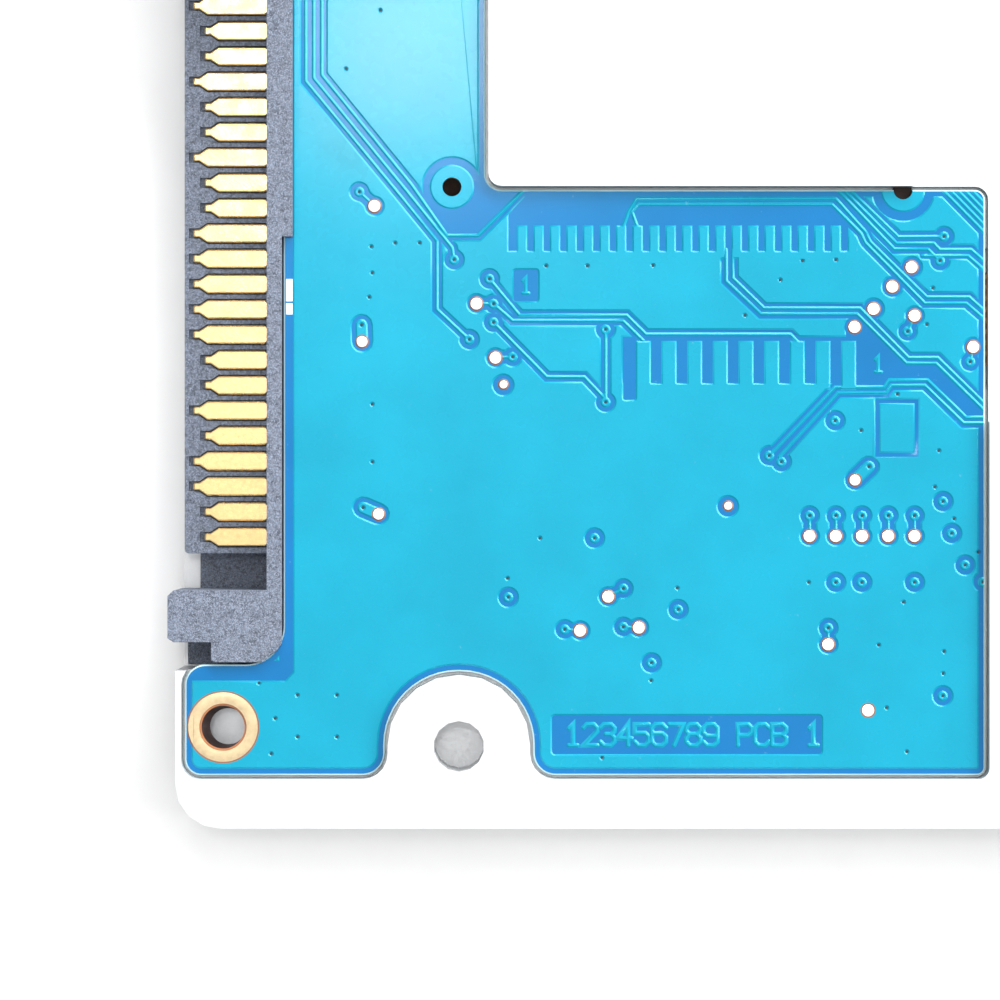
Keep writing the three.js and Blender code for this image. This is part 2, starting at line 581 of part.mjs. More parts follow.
function upperYoke() {
  const plate = prism(sector(8.6, YOKE_REACH, 74, 166, 16), 0.6, 1.25);
  const ear = prism(sector(13.5, 16.5, 63, 76, 3), 0.6, 1.25);
  const post = prism(sector(13.5, 16.5, 63, 68, 2), 1.2, CHAMBER_ROOF - 0.05);
  const farEar = prism(sector(12.6, 15.6, 164, 173, 2), 0.6, 1.25);
  const farPost = prism(sector(12.6, 15.6, 169, 173, 2), 1.2, CHAMBER_ROOF - 0.05);
  return join(plate, ear, post, farEar, farPost);
}

function coilMagnet() {
  return prism(sector(8.8, 16.6, 82, 157, 14), 3.1, 3.55);
}

// Each lift tab rides on one face of the ramp, just outside the platter's rim.
function loadRamp() {
  const low = 1.68;
  const high = 2 * PLATTER_MID - low;
  const rail = prism(sector(36, 37.8, -86, -73.5, 8), low, high);
  const web = prism(sector(37.7, 39, -86, -76, 6), low, CHAMBER_ROOF - 0.05);
  const foot = prism(sector(38.9, 43.4, -85, -78.5, 4), 3.3, CHAMBER_ROOF - 0.05);
  const { x, y } = polar(41.3, -81.8);
  return cut(join(rail, web, foot), disc(x, y, 0.9, 0, 5, 16));
}

const LATCH_AXIS = new THREE.Vector2(-10.9, 28.2);
function shockLatch() {
  const outline = [
    [1.2, -0.9], [2.4, 0.2], [2.1, 1.4], [0.9, 1.5], [-1.7, 4.3], [-7.9, 4.5], [-8.2, 3.3], [-7.5, 3.3], [-7.3, 3.75],
    [-2.2, 3.5], [-1.5, 2.6], [-1.2, -0.9],
  ].map(([x, y]) => new THREE.Vector2(x, y));
  const lever = prism(outline, COIL_LOW, COIL_HIGH);
  return cut(join(disc(0, 0, 1.5, 0.9, 4.2, 20), lever), disc(0, 0, 0.6, 0, 5, 14));
}

function flexConnector() {
  const body = prism(rectangle(-38.4, -31.2, -10.4, -5.6, 0.6, 3), 1.9, CHAMBER_ROOF - 0.05);
  const stiffener = prism(rectangle(-37.4, -32.2, -9.6, -6.4, 0.4, 2), 1.6, 2);
  return join(body, stiffener);
}

// The ribbon that carries the head signals, standing on edge and bent in a loop.
function flexRibbon() {
  const route = [[-27.2, 10.4], [-30, 6.6], [-34.4, 3.6], [-38.8, 1.4], [-40.6, -2.6], [-39.8, -6.2], [-38.75, -8]];
  const curve = new THREE.CatmullRomCurve3(route.map(([x, y]) => new THREE.Vector3(x, y, 2.4)));
  const halfHeight = 0.9;
  const halfThickness = 0.08;
  const steps = 24;
  const side = (sign) => {
    const line = [];
    for (let k = 0; k <= steps; k++) {
      const at = curve.getPointAt(k / steps);
      const along = curve.getTangentAt(k / steps);
      line.push(new THREE.Vector2(at.x - sign * along.y * halfThickness, at.y + sign * along.x * halfThickness));
    }
    return line;
  };
  const outline = [...side(1), ...side(-1).reverse()];
  const ribbon = prism(outline, 2.4 - halfHeight, 2.4 + halfHeight);
  return ribbon;
}

// The strip from the motor's windings to the contacts under the board's edge.
function motorFlex() {
  const film = 0.12;
  const low = BOARD_UNDER - 0.25;
  const path = [[-13, low], [-7.7, low], [-6, PANEL_TOP + 0.05], [9.2, PANEL_TOP + 0.05]];
  const profile = [...path, ...path.map(([x, z]) => [x, z + film]).reverse()];
  const shape = new THREE.Shape(profile.map(([x, z]) => new THREE.Vector2(x, z)));
  const strip = new THREE.ExtrudeGeometry(shape, { depth: 4.6, bevelEnabled: false });
  return solid(strip.rotateX(Math.PI / 2)).translate([0, -7.4, 0]);
}

// ---------------------------------------------------------------- assembly
function at(x, y, z, ...meshes) {
  const group = new THREE.Group();
  group.position.set(x, y, z);
  group.add(...meshes);
  return group;
}

const drive = new THREE.Group();

drive.add(
  piece("base_casting", baseCasting(), CAST_ALUMINIUM),
  piece("top_cover", topCover(), COVER_STEEL),
  piece("cover_gasket", gasketBand(0), GASKET_RUBBER),
  piece("cover_label", coverLabel(), LABEL_PAPER),
  piece("breather_filter", disc(...BREATHER, 2.6, 0.55, 1.1, 24), FILTER_CLOTH),
  piece("air_filter", airFilter(), FILTER_CLOTH),
);
COVER_SCREWS.forEach(([x, y], i) => {
  drive.add(at(x, y, 0.04, piece(`cover_screw_${i + 1}`, screw(1.75, 0.42, 0.8, 3), SCREW_STEEL)));
});

drive.add(
  piece("circuit_board", circuitBoard(), SOLDER_MASK),
  piece("controller_chip", prism(rectangle(-27, -17, -22, -12, 0.3, 2), POCKET_FLOOR + 0.05, BOARD_UNDER - 0.05), CHIP_EPOXY),
);
BOARD_SCREWS.forEach(([x, y], i) => {
  const boardScrew = piece(`board_screw_${i + 1}`, screw(1.85, 0.42, 0.8, 2.1), SCREW_STEEL);
  boardScrew.rotation.x = Math.PI;
  drive.add(at(x, y, BOARD_TOP + 0.47, boardScrew));
});

const connector = new THREE.Group();
connector.add(piece("connector_housing", connectorHousing(), CONNECTOR_PLASTIC));
connector.add(...contactList().map(contact));
drive.add(connector);

drive.add(at(SPINDLE.x, SPINDLE.y, 0,
  piece("bearing_sleeve", bearingSleeve(), BRIGHT_STEEL),
  piece("motor_stator", motorStator(), COPPER_WIRE),
  piece("spindle_hub", spindleHub(), BRIGHT_STEEL),
  piece("rotor_magnet", rotorMagnet(), MAGNET_NICKEL),
  piece("platter", platter(), PLATTER_MIRROR),
  piece("disk_clamp", diskClamp(), BRIGHT_STEEL),
  piece("clamp_screw", screw(2, 0.38, 0.5, 2.4).translate([0, 0, 0.75]), SCREW_STEEL),
));

const arms = at(PIVOT.x, PIVOT.y, 0,
  piece("actuator_arm", actuatorArm(), CAST_ALUMINIUM),
  piece("pivot_bearing", pivotBearing(), BRIGHT_STEEL),
  piece("voice_coil", voiceCoil(), COPPER_WIRE),
  piece("head_suspension_lower", headSuspension(1), BRIGHT_STEEL),
  piece("head_suspension_upper", headSuspension(-1), BRIGHT_STEEL),
);
arms.rotation.z = PARK_ANGLE;
drive.add(arms);

drive.add(at(PIVOT.x, PIVOT.y, 0,
  piece("pivot_post", pivotPost(), BRIGHT_STEEL),
  piece("lower_yoke", lowerYoke(), MAGNET_NICKEL),
  piece("upper_yoke", upperYoke(), MAGNET_NICKEL),
  piece("coil_magnet", coilMagnet(), MAGNET_NICKEL),
  piece("load_ramp", loadRamp(), RAMP_PLASTIC),
));

drive.add(
  at(LATCH_AXIS.x, LATCH_AXIS.y, 0, piece("shock_latch", shockLatch(), RAMP_PLASTIC)),
  piece("flex_connector", flexConnector(), CONNECTOR_PLASTIC),
  piece("flex_ribbon", flexRibbon(), FLEX_FILM),
  piece("motor_flex", motorFlex(), FLEX_FILM),
);

export default drive;
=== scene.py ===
"""A thin 2.5-inch hard disk drive, lying on its cover with its circuit board upwards."""

import math

import bmesh
import bpy
import numpy as np
from bpy.props import FloatProperty, FloatVectorProperty, PointerProperty
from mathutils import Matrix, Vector
from mathutils.geometry import delaunay_2d_cdt


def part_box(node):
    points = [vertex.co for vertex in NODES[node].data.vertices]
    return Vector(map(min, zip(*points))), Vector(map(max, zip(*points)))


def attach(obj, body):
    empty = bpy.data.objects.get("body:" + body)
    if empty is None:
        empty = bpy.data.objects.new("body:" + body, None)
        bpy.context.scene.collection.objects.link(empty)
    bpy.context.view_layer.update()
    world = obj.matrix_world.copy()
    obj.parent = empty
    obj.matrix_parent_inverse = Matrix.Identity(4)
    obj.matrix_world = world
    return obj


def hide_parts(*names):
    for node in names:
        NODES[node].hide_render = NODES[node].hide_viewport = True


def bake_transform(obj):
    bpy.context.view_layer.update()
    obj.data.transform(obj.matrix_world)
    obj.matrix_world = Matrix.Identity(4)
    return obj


bl_info = {
    "name": "Hard Disk Drive",
    "version": (1, 0, 0),
    "blender": (4, 5, 0),
    "location": "View3D > Sidebar > Disk Drive",
    "description": "Finishes a 2.5-inch hard disk drive: its board, connector, casting, cover and works",
    "category": "Object",
}

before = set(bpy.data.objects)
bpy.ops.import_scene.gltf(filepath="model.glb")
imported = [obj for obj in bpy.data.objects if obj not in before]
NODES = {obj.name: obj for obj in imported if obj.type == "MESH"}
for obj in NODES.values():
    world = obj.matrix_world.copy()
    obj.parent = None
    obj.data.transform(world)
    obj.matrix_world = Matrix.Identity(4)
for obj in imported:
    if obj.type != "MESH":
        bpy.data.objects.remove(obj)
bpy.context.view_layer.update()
MM = 0.001


# ---------------------------------------------------------------- sizes and colours
class BoardSettings(bpy.types.PropertyGroup):
    copper_colour: FloatVectorProperty(
        name="Mask over Copper", description="Solder mask where copper lies under it",
        subtype="COLOR", size=3, min=0, max=1, default=(0.003, 0.252, 0.375))
    laminate_colour: FloatVectorProperty(
        name="Mask over Laminate", description="Solder mask on bare laminate",
        subtype="COLOR", size=3, min=0, max=1, default=(0.004, 0.11, 0.32))
    copper_height: FloatProperty(
        name="Copper Height", description="How far copper stands above bare laminate",
        unit="LENGTH", default=0.042 * MM, min=0.005 * MM, max=0.1 * MM)
    edge_width: FloatProperty(
        name="Copper Edge Width", description="Width of the sloping edge of the copper under its mask",
        unit="LENGTH", default=0.08 * MM, min=0.01 * MM, max=0.12 * MM)
    trace_width: FloatProperty(
        name="Trace Width", description="Width of a signal trace at its foot",
        unit="LENGTH", default=0.19 * MM, min=0.05 * MM, max=0.4 * MM)
    channel_width: FloatProperty(
        name="Channel Width", description="Width cleared round a single trace",
        unit="LENGTH", default=0.46 * MM, min=0.2 * MM, max=1 * MM)
    pour_margin: FloatProperty(
        name="Edge Margin", description="Bare margin between the copper and the board's edge",
        unit="LENGTH", default=0.32 * MM, min=0.1 * MM, max=1 * MM)


class ConnectorSettings(bpy.types.PropertyGroup):
    plastic_colour: FloatVectorProperty(
        name="Plastic", description="Glass-filled plastic of the connector",
        subtype="COLOR", size=3, min=0, max=1, default=(0.085, 0.103, 0.14))
    gold_colour: FloatVectorProperty(
        name="Gold", description="Gold plate of the contacts",
        subtype="COLOR", size=3, min=0, max=1, default=(0.58, 0.42, 0.2))
    contact_rounding: FloatProperty(
        name="Contact Rounding", description="How far a contact's edges are rounded",
        unit="LENGTH", default=0.09 * MM, min=0, max=0.2 * MM)


class StageSettings(bpy.types.PropertyGroup):
    floor_colour: FloatVectorProperty(
        name="Floor", description="Plain pale floor", subtype="COLOR", size=3, min=0, max=1,
        default=(0.93, 0.93, 0.93))
    view_width: FloatProperty(
        name="View Width", description="Width of the board that fills the picture",
        unit="LENGTH", default=49.5 * MM, min=10 * MM, max=200 * MM)
    camera_distance: FloatProperty(
        name="Camera Distance", description="Height of the camera above the board",
        unit="LENGTH", default=200 * MM, min=50 * MM, max=2000 * MM)
    key_light: FloatProperty(
        name="Key Light", description="Brightness of the low soft box at the far right",
        default=14.5, min=0, max=40)
    panel_light: FloatProperty(
        name="Overhead Panel", description="Brightness of the large overhead panel",
        default=1.1, min=0, max=20)
    strip_light: FloatProperty(
        name="Strip Light", description="Brightness of the small overhead lamp that the varnish mirrors",
        default=48.0, min=0, max=400)
    room_light: FloatProperty(
        name="Room Light", description="Brightness of the white room", default=0.5, min=0, max=4)


# ---------------------------------------------------------------- node helpers
class Finish:
    """A material under construction: a Principled shader, and the nodes that lead to it."""

    def __init__(self, name, colour, roughness, metallic=0.0, **sockets):
        self.material = bpy.data.materials.new(name)
        self.material.use_nodes = True
        self.tree = self.material.node_tree
        self.shader = self.tree.nodes["Principled BSDF"]
        self.shader.inputs["Base Color"].default_value = (*colour, 1)
        self.shader.inputs["Roughness"].default_value = roughness
        self.shader.inputs["Metallic"].default_value = metallic
        for socket, value in sockets.items():
            self.shader.inputs[socket.replace("_", " ")].default_value = value
        self.place = self.add("ShaderNodeTexCoord").outputs["Object"]

    def add(self, kind, **settings):
        node = self.tree.nodes.new(kind)
        for name, value in settings.items():
            setattr(node, name, value)
        return node

    def link(self, source, target):
        self.tree.links.new(source, target)

    def stretched(self, scale, turn=0.0):
        mapping = self.add("ShaderNodeMapping")
        mapping.inputs["Scale"].default_value = scale
        mapping.inputs["Rotation"].default_value = (0, 0, turn)
        self.link(self.place, mapping.inputs["Vector"])
        return mapping.outputs["Vector"]

    def noise(self, per_metre, detail=3.0, roughness=0.55, place=None):
        node = self.add("ShaderNodeTexNoise")
        node.inputs["Scale"].default_value = per_metre
        node.inputs["Detail"].default_value = detail
        node.inputs["Roughness"].default_value = roughness
        self.link(place or self.place, node.inputs["Vector"])
        return node.outputs["Fac"]

    def ramp(self, fac, low, high, dark=0.0, light=1.0):
        node = self.add("ShaderNodeMapRange")
        node.inputs["From Min"].default_value = low
        node.inputs["From Max"].default_value = high
        node.inputs["To Min"].default_value = dark
        node.inputs["To Max"].default_value = light
        self.link(fac, node.inputs["Value"])
        return node.outputs["Result"]

    def mixed(self, fac, first, second):
        node = self.add("ShaderNodeMix", data_type="RGBA")
        self.link(fac, node.inputs[0])
        for socket, value in ((node.inputs[6], first), (node.inputs[7], second)):
            if isinstance(value, tuple):
                socket.default_value = (*value, 1)
            else:
                self.link(value, socket)
        return node.outputs[2]

    def maths(self, operation, *values):
        node = self.add("ShaderNodeMath", operation=operation)
        for socket, value in zip(node.inputs, values):
            if isinstance(value, (int, float)):
                socket.default_value = value
            else:
                self.link(value, socket)
        return node.outputs[0]

    def axes(self, place=None):
        node = self.add("ShaderNodeSeparateXYZ")
        self.link(place or self.place, node.inputs[0])
        return node.outputs

    def away_from(self, centre):
        """Distance from a vertical axis."""
        x, y, _ = self.axes()
        dx, dy = self.maths("SUBTRACT", x, centre[0]), self.maths("SUBTRACT", y, centre[1])
        return self.maths("SQRT", self.maths(
            "ADD", self.maths("MULTIPLY", dx, dx), self.maths("MULTIPLY", dy, dy)))

    def colour(self, source):
        self.link(source, self.shader.inputs["Base Color"])
        return self

    def gloss(self, source):
        self.link(source, self.shader.inputs["Roughness"])
        return self

    def bump(self, height, distance, strength=1.0):
        node = self.add("ShaderNodeBump")
        node.inputs["Strength"].default_value = strength
        node.inputs["Distance"].default_value = distance
        self.link(height, node.inputs["Height"])
        if self.shader.inputs["Normal"].links:
            self.link(self.shader.inputs["Normal"].links[0].from_socket, node.inputs["Normal"])
        self.link(node.outputs["Normal"], self.shader.inputs["Normal"])
        return self


def shade(colour, factor):
    return tuple(min(1.0, c * factor) for c in colour)


def mask_over(name, colour, gloss):
    """Solder mask: a faintly uneven varnished film with orange peel and dust."""
    made = Finish(name, colour, gloss, Specular_Tint=(0.12, 0.75, 0.95, 1), Coat_Weight=0.22, Coat_Roughness=0.12)
    cloud = made.noise(160, 4)
    fine = made.noise(2600, 3, 0.7)
    tone = made.mixed(made.ramp(cloud, 0.35, 0.65), shade(colour, 0.93), shade(colour, 1.07))
    speck = made.ramp(fine, 0.7, 0.78)
    tone = made.mixed(made.maths("MULTIPLY", speck, 0.3), tone, (0.2, 0.4, 0.45))
    made.colour(tone)
    made.gloss(made.ramp(made.noise(900, 2), 0.3, 0.7, gloss - 0.015, gloss + 0.02))
    made.bump(made.noise(3500, 2), 0.004 * MM, 0.5)
    return made.material


def laminate_edge():
    made = Finish("laminate_edge", (0.5, 0.74, 0.78), 0.6)
    layers = made.noise(900, 2, place=made.stretched((0.1, 0.1, 9)))
    made.colour(made.mixed(made.ramp(layers, 0.4, 0.6), (0.42, 0.68, 0.73), (0.6, 0.8, 0.82)))
    made.bump(made.noise(6000, 3), 0.01 * MM, 0.6)
    return made.material


def bare_metal(name, colour, roughness, grain=3000, depth=0.003, contrast=0.12):
    """Plated or ground metal with a slightly uneven sheen."""
    made = Finish(name, colour, roughness, 1.0)
    patch = made.noise(grain, 4)
    made.colour(made.mixed(made.ramp(patch, 0.3, 0.7), shade(colour, 1 - contrast), shade(colour, 1 + contrast / 2)))
    made.gloss(made.ramp(made.noise(grain / 4, 3), 0.3, 0.7, roughness * 0.8, roughness * 1.25))
    made.bump(patch, depth * MM, 0.6)
    return made.material


def brushed_metal(name, colour, roughness, turn=0.0):
    made = Finish(name, colour, roughness, 1.0, Anisotropic=0.5)
    lines = made.noise(9000, 3, 0.6, made.stretched((0.02, 1, 1), turn))
    made.colour(made.mixed(made.ramp(lines, 0.3, 0.7), shade(colour, 0.86), shade(colour, 1.04)))
    made.gloss(made.ramp(lines, 0.2, 0.8, roughness * 0.75, roughness * 1.3))
    made.bump(lines, 0.004 * MM, 0.5)
    return made.material


def turned_metal(name, colour, roughness, centre):
    """Metal turned on a lathe: rings about a vertical axis."""
    made = Finish(name, colour, roughness, 1.0)
    wave = made.maths("SINE", made.maths("MULTIPLY", made.away_from(centre), 2 * math.pi / (0.09 * MM)))
    made.colour(made.mixed(made.ramp(made.noise(900, 3), 0.3, 0.7), shade(colour, 0.9), shade(colour, 1.03)))
    made.gloss(made.ramp(wave, -1, 1, roughness * 0.8, roughness * 1.25))
    made.bump(wave, 0.0015 * MM, 0.5)
    return made.material


def cast_aluminium():
    """Die casting, bead-blasted: a fine even grain with faint flow clouds."""
    made = Finish("cast_aluminium", (0.63, 0.64, 0.65), 0.42, 0.6)
    grain = made.noise(5200, 5, 0.7)
    cloud = made.noise(120, 3)
    tone = made.mixed(made.ramp(cloud, 0.35, 0.65), (0.61, 0.62, 0.63), (0.67, 0.68, 0.69))
    made.colour(made.mixed(made.ramp(grain, 0.25, 0.75), (0.54, 0.55, 0.56), tone))
    made.gloss(made.ramp(grain, 0.3, 0.7, 0.34, 0.52))
    made.bump(grain, 0.012 * MM, 0.5)
    return made.material


def glass_filled_plastic(colour):
    """Moulded plastic filled with glass: a crumpled, salt-and-pepper skin with pale fibre ends."""
    made = Finish("glass_filled_plastic", colour, 0.55)
    crumple = made.noise(3600, 5, 0.72)
    grain = made.noise(12000, 3, 0.8)
    tone = made.mixed(made.ramp(crumple, 0.38, 0.6), shade(colour, 0.5), shade(colour, 1.3))
    tone = made.mixed(made.ramp(grain, 0.52, 0.62), tone, shade(colour, 2.6))
    turned = made.noise(4300, 5, 0.75, made.stretched((1, 1, 1), 0.7))
    ridge = made.maths("ABSOLUTE", made.maths("SUBTRACT", turned, 0.5))
    made.colour(made.mixed(made.ramp(ridge, 0.0, 0.018, 0.75, 0.0), tone, (0.4, 0.44, 0.54)))
    made.gloss(made.ramp(grain, 0.3, 0.7, 0.4, 0.7))
    made.bump(crumple, 0.05 * MM, 0.8)
    return made.material


def smooth_plastic(name, colour, roughness, grain=2500):
    made = Finish(name, colour, roughness)
    fine = made.noise(grain, 3)
    made.colour(made.mixed(made.ramp(fine, 0.3, 0.7), shade(colour, 0.9), shade(colour, 1.08)))
    made.gloss(made.ramp(made.noise(grain / 3, 2), 0.3, 0.7, roughness * 0.85, roughness * 1.2))
    made.bump(fine, 0.006 * MM, 0.5)
    return made.material


def wound_wire(name, colour, centre=None):
    """Enamelled wire in close turns, painted darker in the grooves between the turns and lighter on their crests:
    painted shade and painted highlight.
    """
    made = Finish(name, colour, 0.3, 0.9, Coat_Weight=0.4)
    across = made.away_from(centre) if centre else made.axes()[0]
    turns = made.maths("SINE", made.maths("MULTIPLY", across, 2 * math.pi / (0.16 * MM)))
    # painted shade in the grooves between turns, painted highlight along the crests
    made.colour(made.mixed(made.ramp(turns, -1, 1), shade(colour, 0.55), shade(colour, 1.15)))
    made.bump(turns, 0.03 * MM, 0.8)
    return made.material


def filter_cloth():
    made = Finish("filter_cloth", (0.86, 0.86, 0.84), 0.95, Sheen_Weight=0.3)
    fibre = made.noise(5000, 5, 0.75, made.stretched((1, 0.25, 1), 0.6))
    made.colour(made.mixed(made.ramp(fibre, 0.3, 0.7), (0.66, 0.66, 0.64), (0.93, 0.93, 0.92)))
    made.bump(fibre, 0.05 * MM, 0.8)
    return made.material


def printed_label():
    """White film with generic printed blocks: rules, a panel and two bar patterns, and no lettering."""
    made = Finish("printed_label", (0.85, 0.86, 0.85), 0.42, Specular_IOR_Level=0.4)
    x, y, _ = made.axes()

    def between(value, low, high):
        above = made.maths("GREATER_THAN", value, low * MM)
        return made.maths("MULTIPLY", above, made.maths("LESS_THAN", value, high * MM))

    def panel(x0, x1, y0, y1):
        return made.maths("MULTIPLY", between(x, x0, x1), between(y, y0, y1))

    cell = made.maths("FLOOR", made.maths("DIVIDE", y, 0.33 * MM))
    white = made.add("ShaderNodeTexWhiteNoise", noise_dimensions="1D")
    made.link(cell, white.inputs["W"])
    bars = made.maths("GREATER_THAN", white.outputs["Value"], 0.5)
    line = made.maths("LESS_THAN", made.maths("PINGPONG", made.maths("ADD", x, 0.1), 0.9 * MM), 0.22 * MM)
    ink = made.maths("MULTIPLY", panel(30, 40, -24, 24), bars)
    ink = made.maths("MAXIMUM", ink, made.maths("MULTIPLY", panel(-33, -26, -24, 6), bars))
    ink = made.maths("MAXIMUM", ink, made.maths("MULTIPLY", panel(-20, 10, 8, 24), line))
    ink = made.maths("MAXIMUM", ink, made.maths("MULTIPLY", panel(14, 26, -24, 2), line))
    tone = made.mixed(panel(-20, 10, -24, 3), (0.85, 0.86, 0.85), (0.1, 0.24, 0.42))
    made.colour(made.mixed(ink, tone, (0.04, 0.045, 0.05)))
    made.bump(made.noise(3000, 3), 0.004 * MM, 0.4)
    return made.material


def flex_film():
    made = Finish("flex_film", (0.5, 0.2, 0.03), 0.3, Coat_Weight=0.5)
    _, y, z = made.axes()
    wires = made.maths("SINE", made.maths("MULTIPLY", made.maths("ADD", y, z), 2 * math.pi / (0.55 * MM)))
    made.colour(made.mixed(made.ramp(wires, -0.2, 0.5), (0.42, 0.15, 0.02), (0.72, 0.38, 0.1)))
    made.bump(wires, 0.02 * MM, 0.6)
    return made.material


def polished_disk():
    made = Finish("polished_disk", (0.74, 0.75, 0.76), 0.05, 1.0)
    made.colour(made.mixed(made.ramp(made.noise(60, 2), 0.3, 0.7), (0.7, 0.71, 0.72), (0.78, 0.785, 0.79)))
    made.gloss(made.ramp(made.noise(300, 3), 0.3, 0.7, 0.04, 0.07))
    return made.material


# ---------------------------------------------------------------- shaping helpers
def only(*objects):
    """Selects these objects and nothing else."""
    if bpy.context.object and bpy.context.object.mode != "OBJECT":
        bpy.ops.object.mode_set(mode="OBJECT")
    bpy.ops.object.select_all(action="DESELECT")
    for o in objects:
        o.select_set(True)
    bpy.context.view_layer.objects.active = objects[0]


def settle(piece, body, slot, *replaced):
    """Applies a piece's place, then makes it ride on its body."""
    only(piece)
    bpy.ops.object.transform_apply(location=True, rotation=True, scale=True)
    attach(piece, body)
    if replaced:
        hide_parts(*replaced)
    return piece


def paint(node, material):
    """Gives a carried-over part its finish, through its object's own slot."""
    o = NODES[node]
    if not o.material_slots:
        o.data.materials.append(None)
    for slot in o.material_slots:
        slot.link = "OBJECT"
        slot.material = material


def cylinder(name, place, radius, low, high, vertices):
    """A plain round bar to shape further, between two heights over a place on the board, all in millimetres."""
    bpy.ops.object.select_all(action="DESELECT")
    x, y = NOTCH + place
    bpy.ops.mesh.primitive_cylinder_add(
        vertices=vertices, radius=radius * MM, depth=(high - low) * MM, location=Vector((x, y, (low + high) / 2)) * MM)
    made = bpy.context.object
    made.name = name
    bpy.ops.object.transform_apply(location=True, rotation=True, scale=True)
    return made


def round_edges(piece, width):
    only(piece)
    bevel = piece.modifiers.new("Edges", "BEVEL")
    bevel.width = width * MM
    bevel.segments = 2
    bpy.ops.object.modifier_apply(modifier="Edges")


def soften(node, width, segments=2):
    """Rounds a carried-over part's sharp edges."""
    o = NODES[node]
    weld = o.modifiers.new("Weld", "WELD")
    weld.merge_threshold = 0.002 * MM
    flat = o.modifiers.new("Flat faces", "DECIMATE")
    flat.decimate_type = "DISSOLVE"
    flat.angle_limit = math.radians(1)
    bevel = o.modifiers.new("Edges", "BEVEL")
    bevel.width = width * MM
    bevel.segments = segments
    bevel.limit_method = "ANGLE"
    bevel.angle_limit = math.radians(38)
    bevel.use_clamp_overlap = True


# ---------------------------------------------------------------- the board's drawing
# Board drawings are in millimetres, measured from the half-round mounting notch's centre.
NOTCH = Vector((-35.7, -30.86))
NOTCH_RADIUS = 3.68
CORNER_HOLE = Vector((-11.68, 0.92))
CORNER_HOLE_RADIUS = 1.17
LOCATING_HOLE = Vector((-0.35, 27.66))
EDGE_HOLE = Vector((21.98, 27.51))
SMALL_HOLE_RADIUS = 0.47
VIEW_CENTRE = (-33.67, -18.7)  # in the drive's own millimetres
RIM = 0.07  # the routed edge, where the mask ends
PIT_DEPTH, PIT_SLOPE = 0.04, 0.06
RING_DOME, PAD_DOME = 0.025, 0.02
# the board's materials, in the order of its slots
COPPER, LAMINATE, TEST_PAD, GOLD, DIMPLE, EDGE, MASK_RIM, INK = range(8)
BOARD_UNDER, BOARD_TOP = (z / MM for z in (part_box("circuit_board")[0].z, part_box("circuit_board")[1].z))


def rounded(corners, steps=12):
    """An outline with rounded corners; each corner is (x, y, radius)."""
    outline = []
    for i, (x, y, radius) in enumerate(corners):
        corner = Vector((x, y))
        back = (Vector(corners[i - 1][:2]) - corner).normalized()
        ahead = (Vector(corners[(i + 1) % len(corners)][:2]) - corner).normalized()
        half = back.angle(ahead) / 2
        centre = corner + (back + ahead).normalized() * (radius / math.sin(half))
        start = corner + back * (radius / math.tan(half)) - centre
        turn = math.copysign(math.pi - 2 * half, ahead.cross(back))
        for k in range(steps + 1):
            c, s = math.cos(turn * k / steps), math.sin(turn * k / steps)
            outline.append(centre + Vector((start.x * c - start.y * s, start.x * s + start.y * c)))
    return outline


def board_outline():
    """Anticlockwise, in board millimetres: a wide part, and a leg that runs along the connector."""
    left, right, low, top = -13.56, 26.04, -1.46, 27.51
    far = -2 * NOTCH.y  # the far side's mounting hole
    leg, behind = 1.3, -8.68
    arc = NOTCH_RADIUS - 0.06
    return rounded([
        (left, low, 0.8), (-NOTCH_RADIUS, low, 1.1), (-NOTCH_RADIUS, NOTCH_RADIUS, arc),
        (NOTCH_RADIUS, NOTCH_RADIUS, arc), (NOTCH_RADIUS, low, 1.1), (right, low, 0.4), (right, top, 0.5),
        (leg, top, 0.8), (leg, far - NOTCH_RADIUS, 0.5), (-NOTCH_RADIUS, far - NOTCH_RADIUS, arc),
        (-NOTCH_RADIUS, far + 1.46, 1.1), (left, far + 1.46, 0.8), (left, 43.26, 1), (behind, 43.26, 0.4),
        (behind, 4.01, 1.9), (left, 4.01, 1),
    ])


def ring(x, y, radius, steps=None):
    steps = steps or max(14, int(18 * math.sqrt(radius)) + 14)
    return [Vector((x + radius * math.cos(2 * math.pi * k / steps), y + radius * math.sin(2 * math.pi * k / steps)))
            for k in range(steps)]


def grown(outline, distance):
    """An anticlockwise outline moved outwards by a distance."""
    moved = []
    for i, point in enumerate(outline):
        d1 = (point - outline[i - 1]).normalized()
        d2 = (outline[(i + 1) % len(outline)] - point).normalized()
        normal = Vector((d1.y + d2.y, -d1.x - d2.x)).normalized()
        moved.append(point + normal * (distance / max(0.35, normal.dot(Vector((d1.y, -d1.x))))))
    return moved


def ribbon(points, radius):
    """The outline of a stroke of that half width, with round ends."""
    points = [Vector(p) for p in points]
    if len(points) == 1:
        return ring(*points[0], radius)
    side = []
    for sign in (1, -1):
        run = points if sign > 0 else points[::-1]
        for i, point in enumerate(run):
            ahead = run[i + 1] - point if i < len(run) - 1 else point - run[i - 1]
            behind = point - run[i - 1] if i > 0 else ahead
            d1, d2 = behind.normalized(), ahead.normalized()
            normal = Vector((d1.y + d2.y, -d1.x - d2.x)).normalized()
            if 0 < i < len(run) - 1:
                side.append(point + normal * (radius / normal.dot(Vector((d1.y, -d1.x)))))
            elif i == 0:
                side.append(point + Vector((d2.y, -d2.x)) * radius)
            else:
                start = math.atan2(-d1.x, d1.y)
                for k in range(6):
                    angle = start + math.pi * k / 6
                    side.append(point + Vector((math.cos(angle), math.sin(angle))) * radius)
    return side


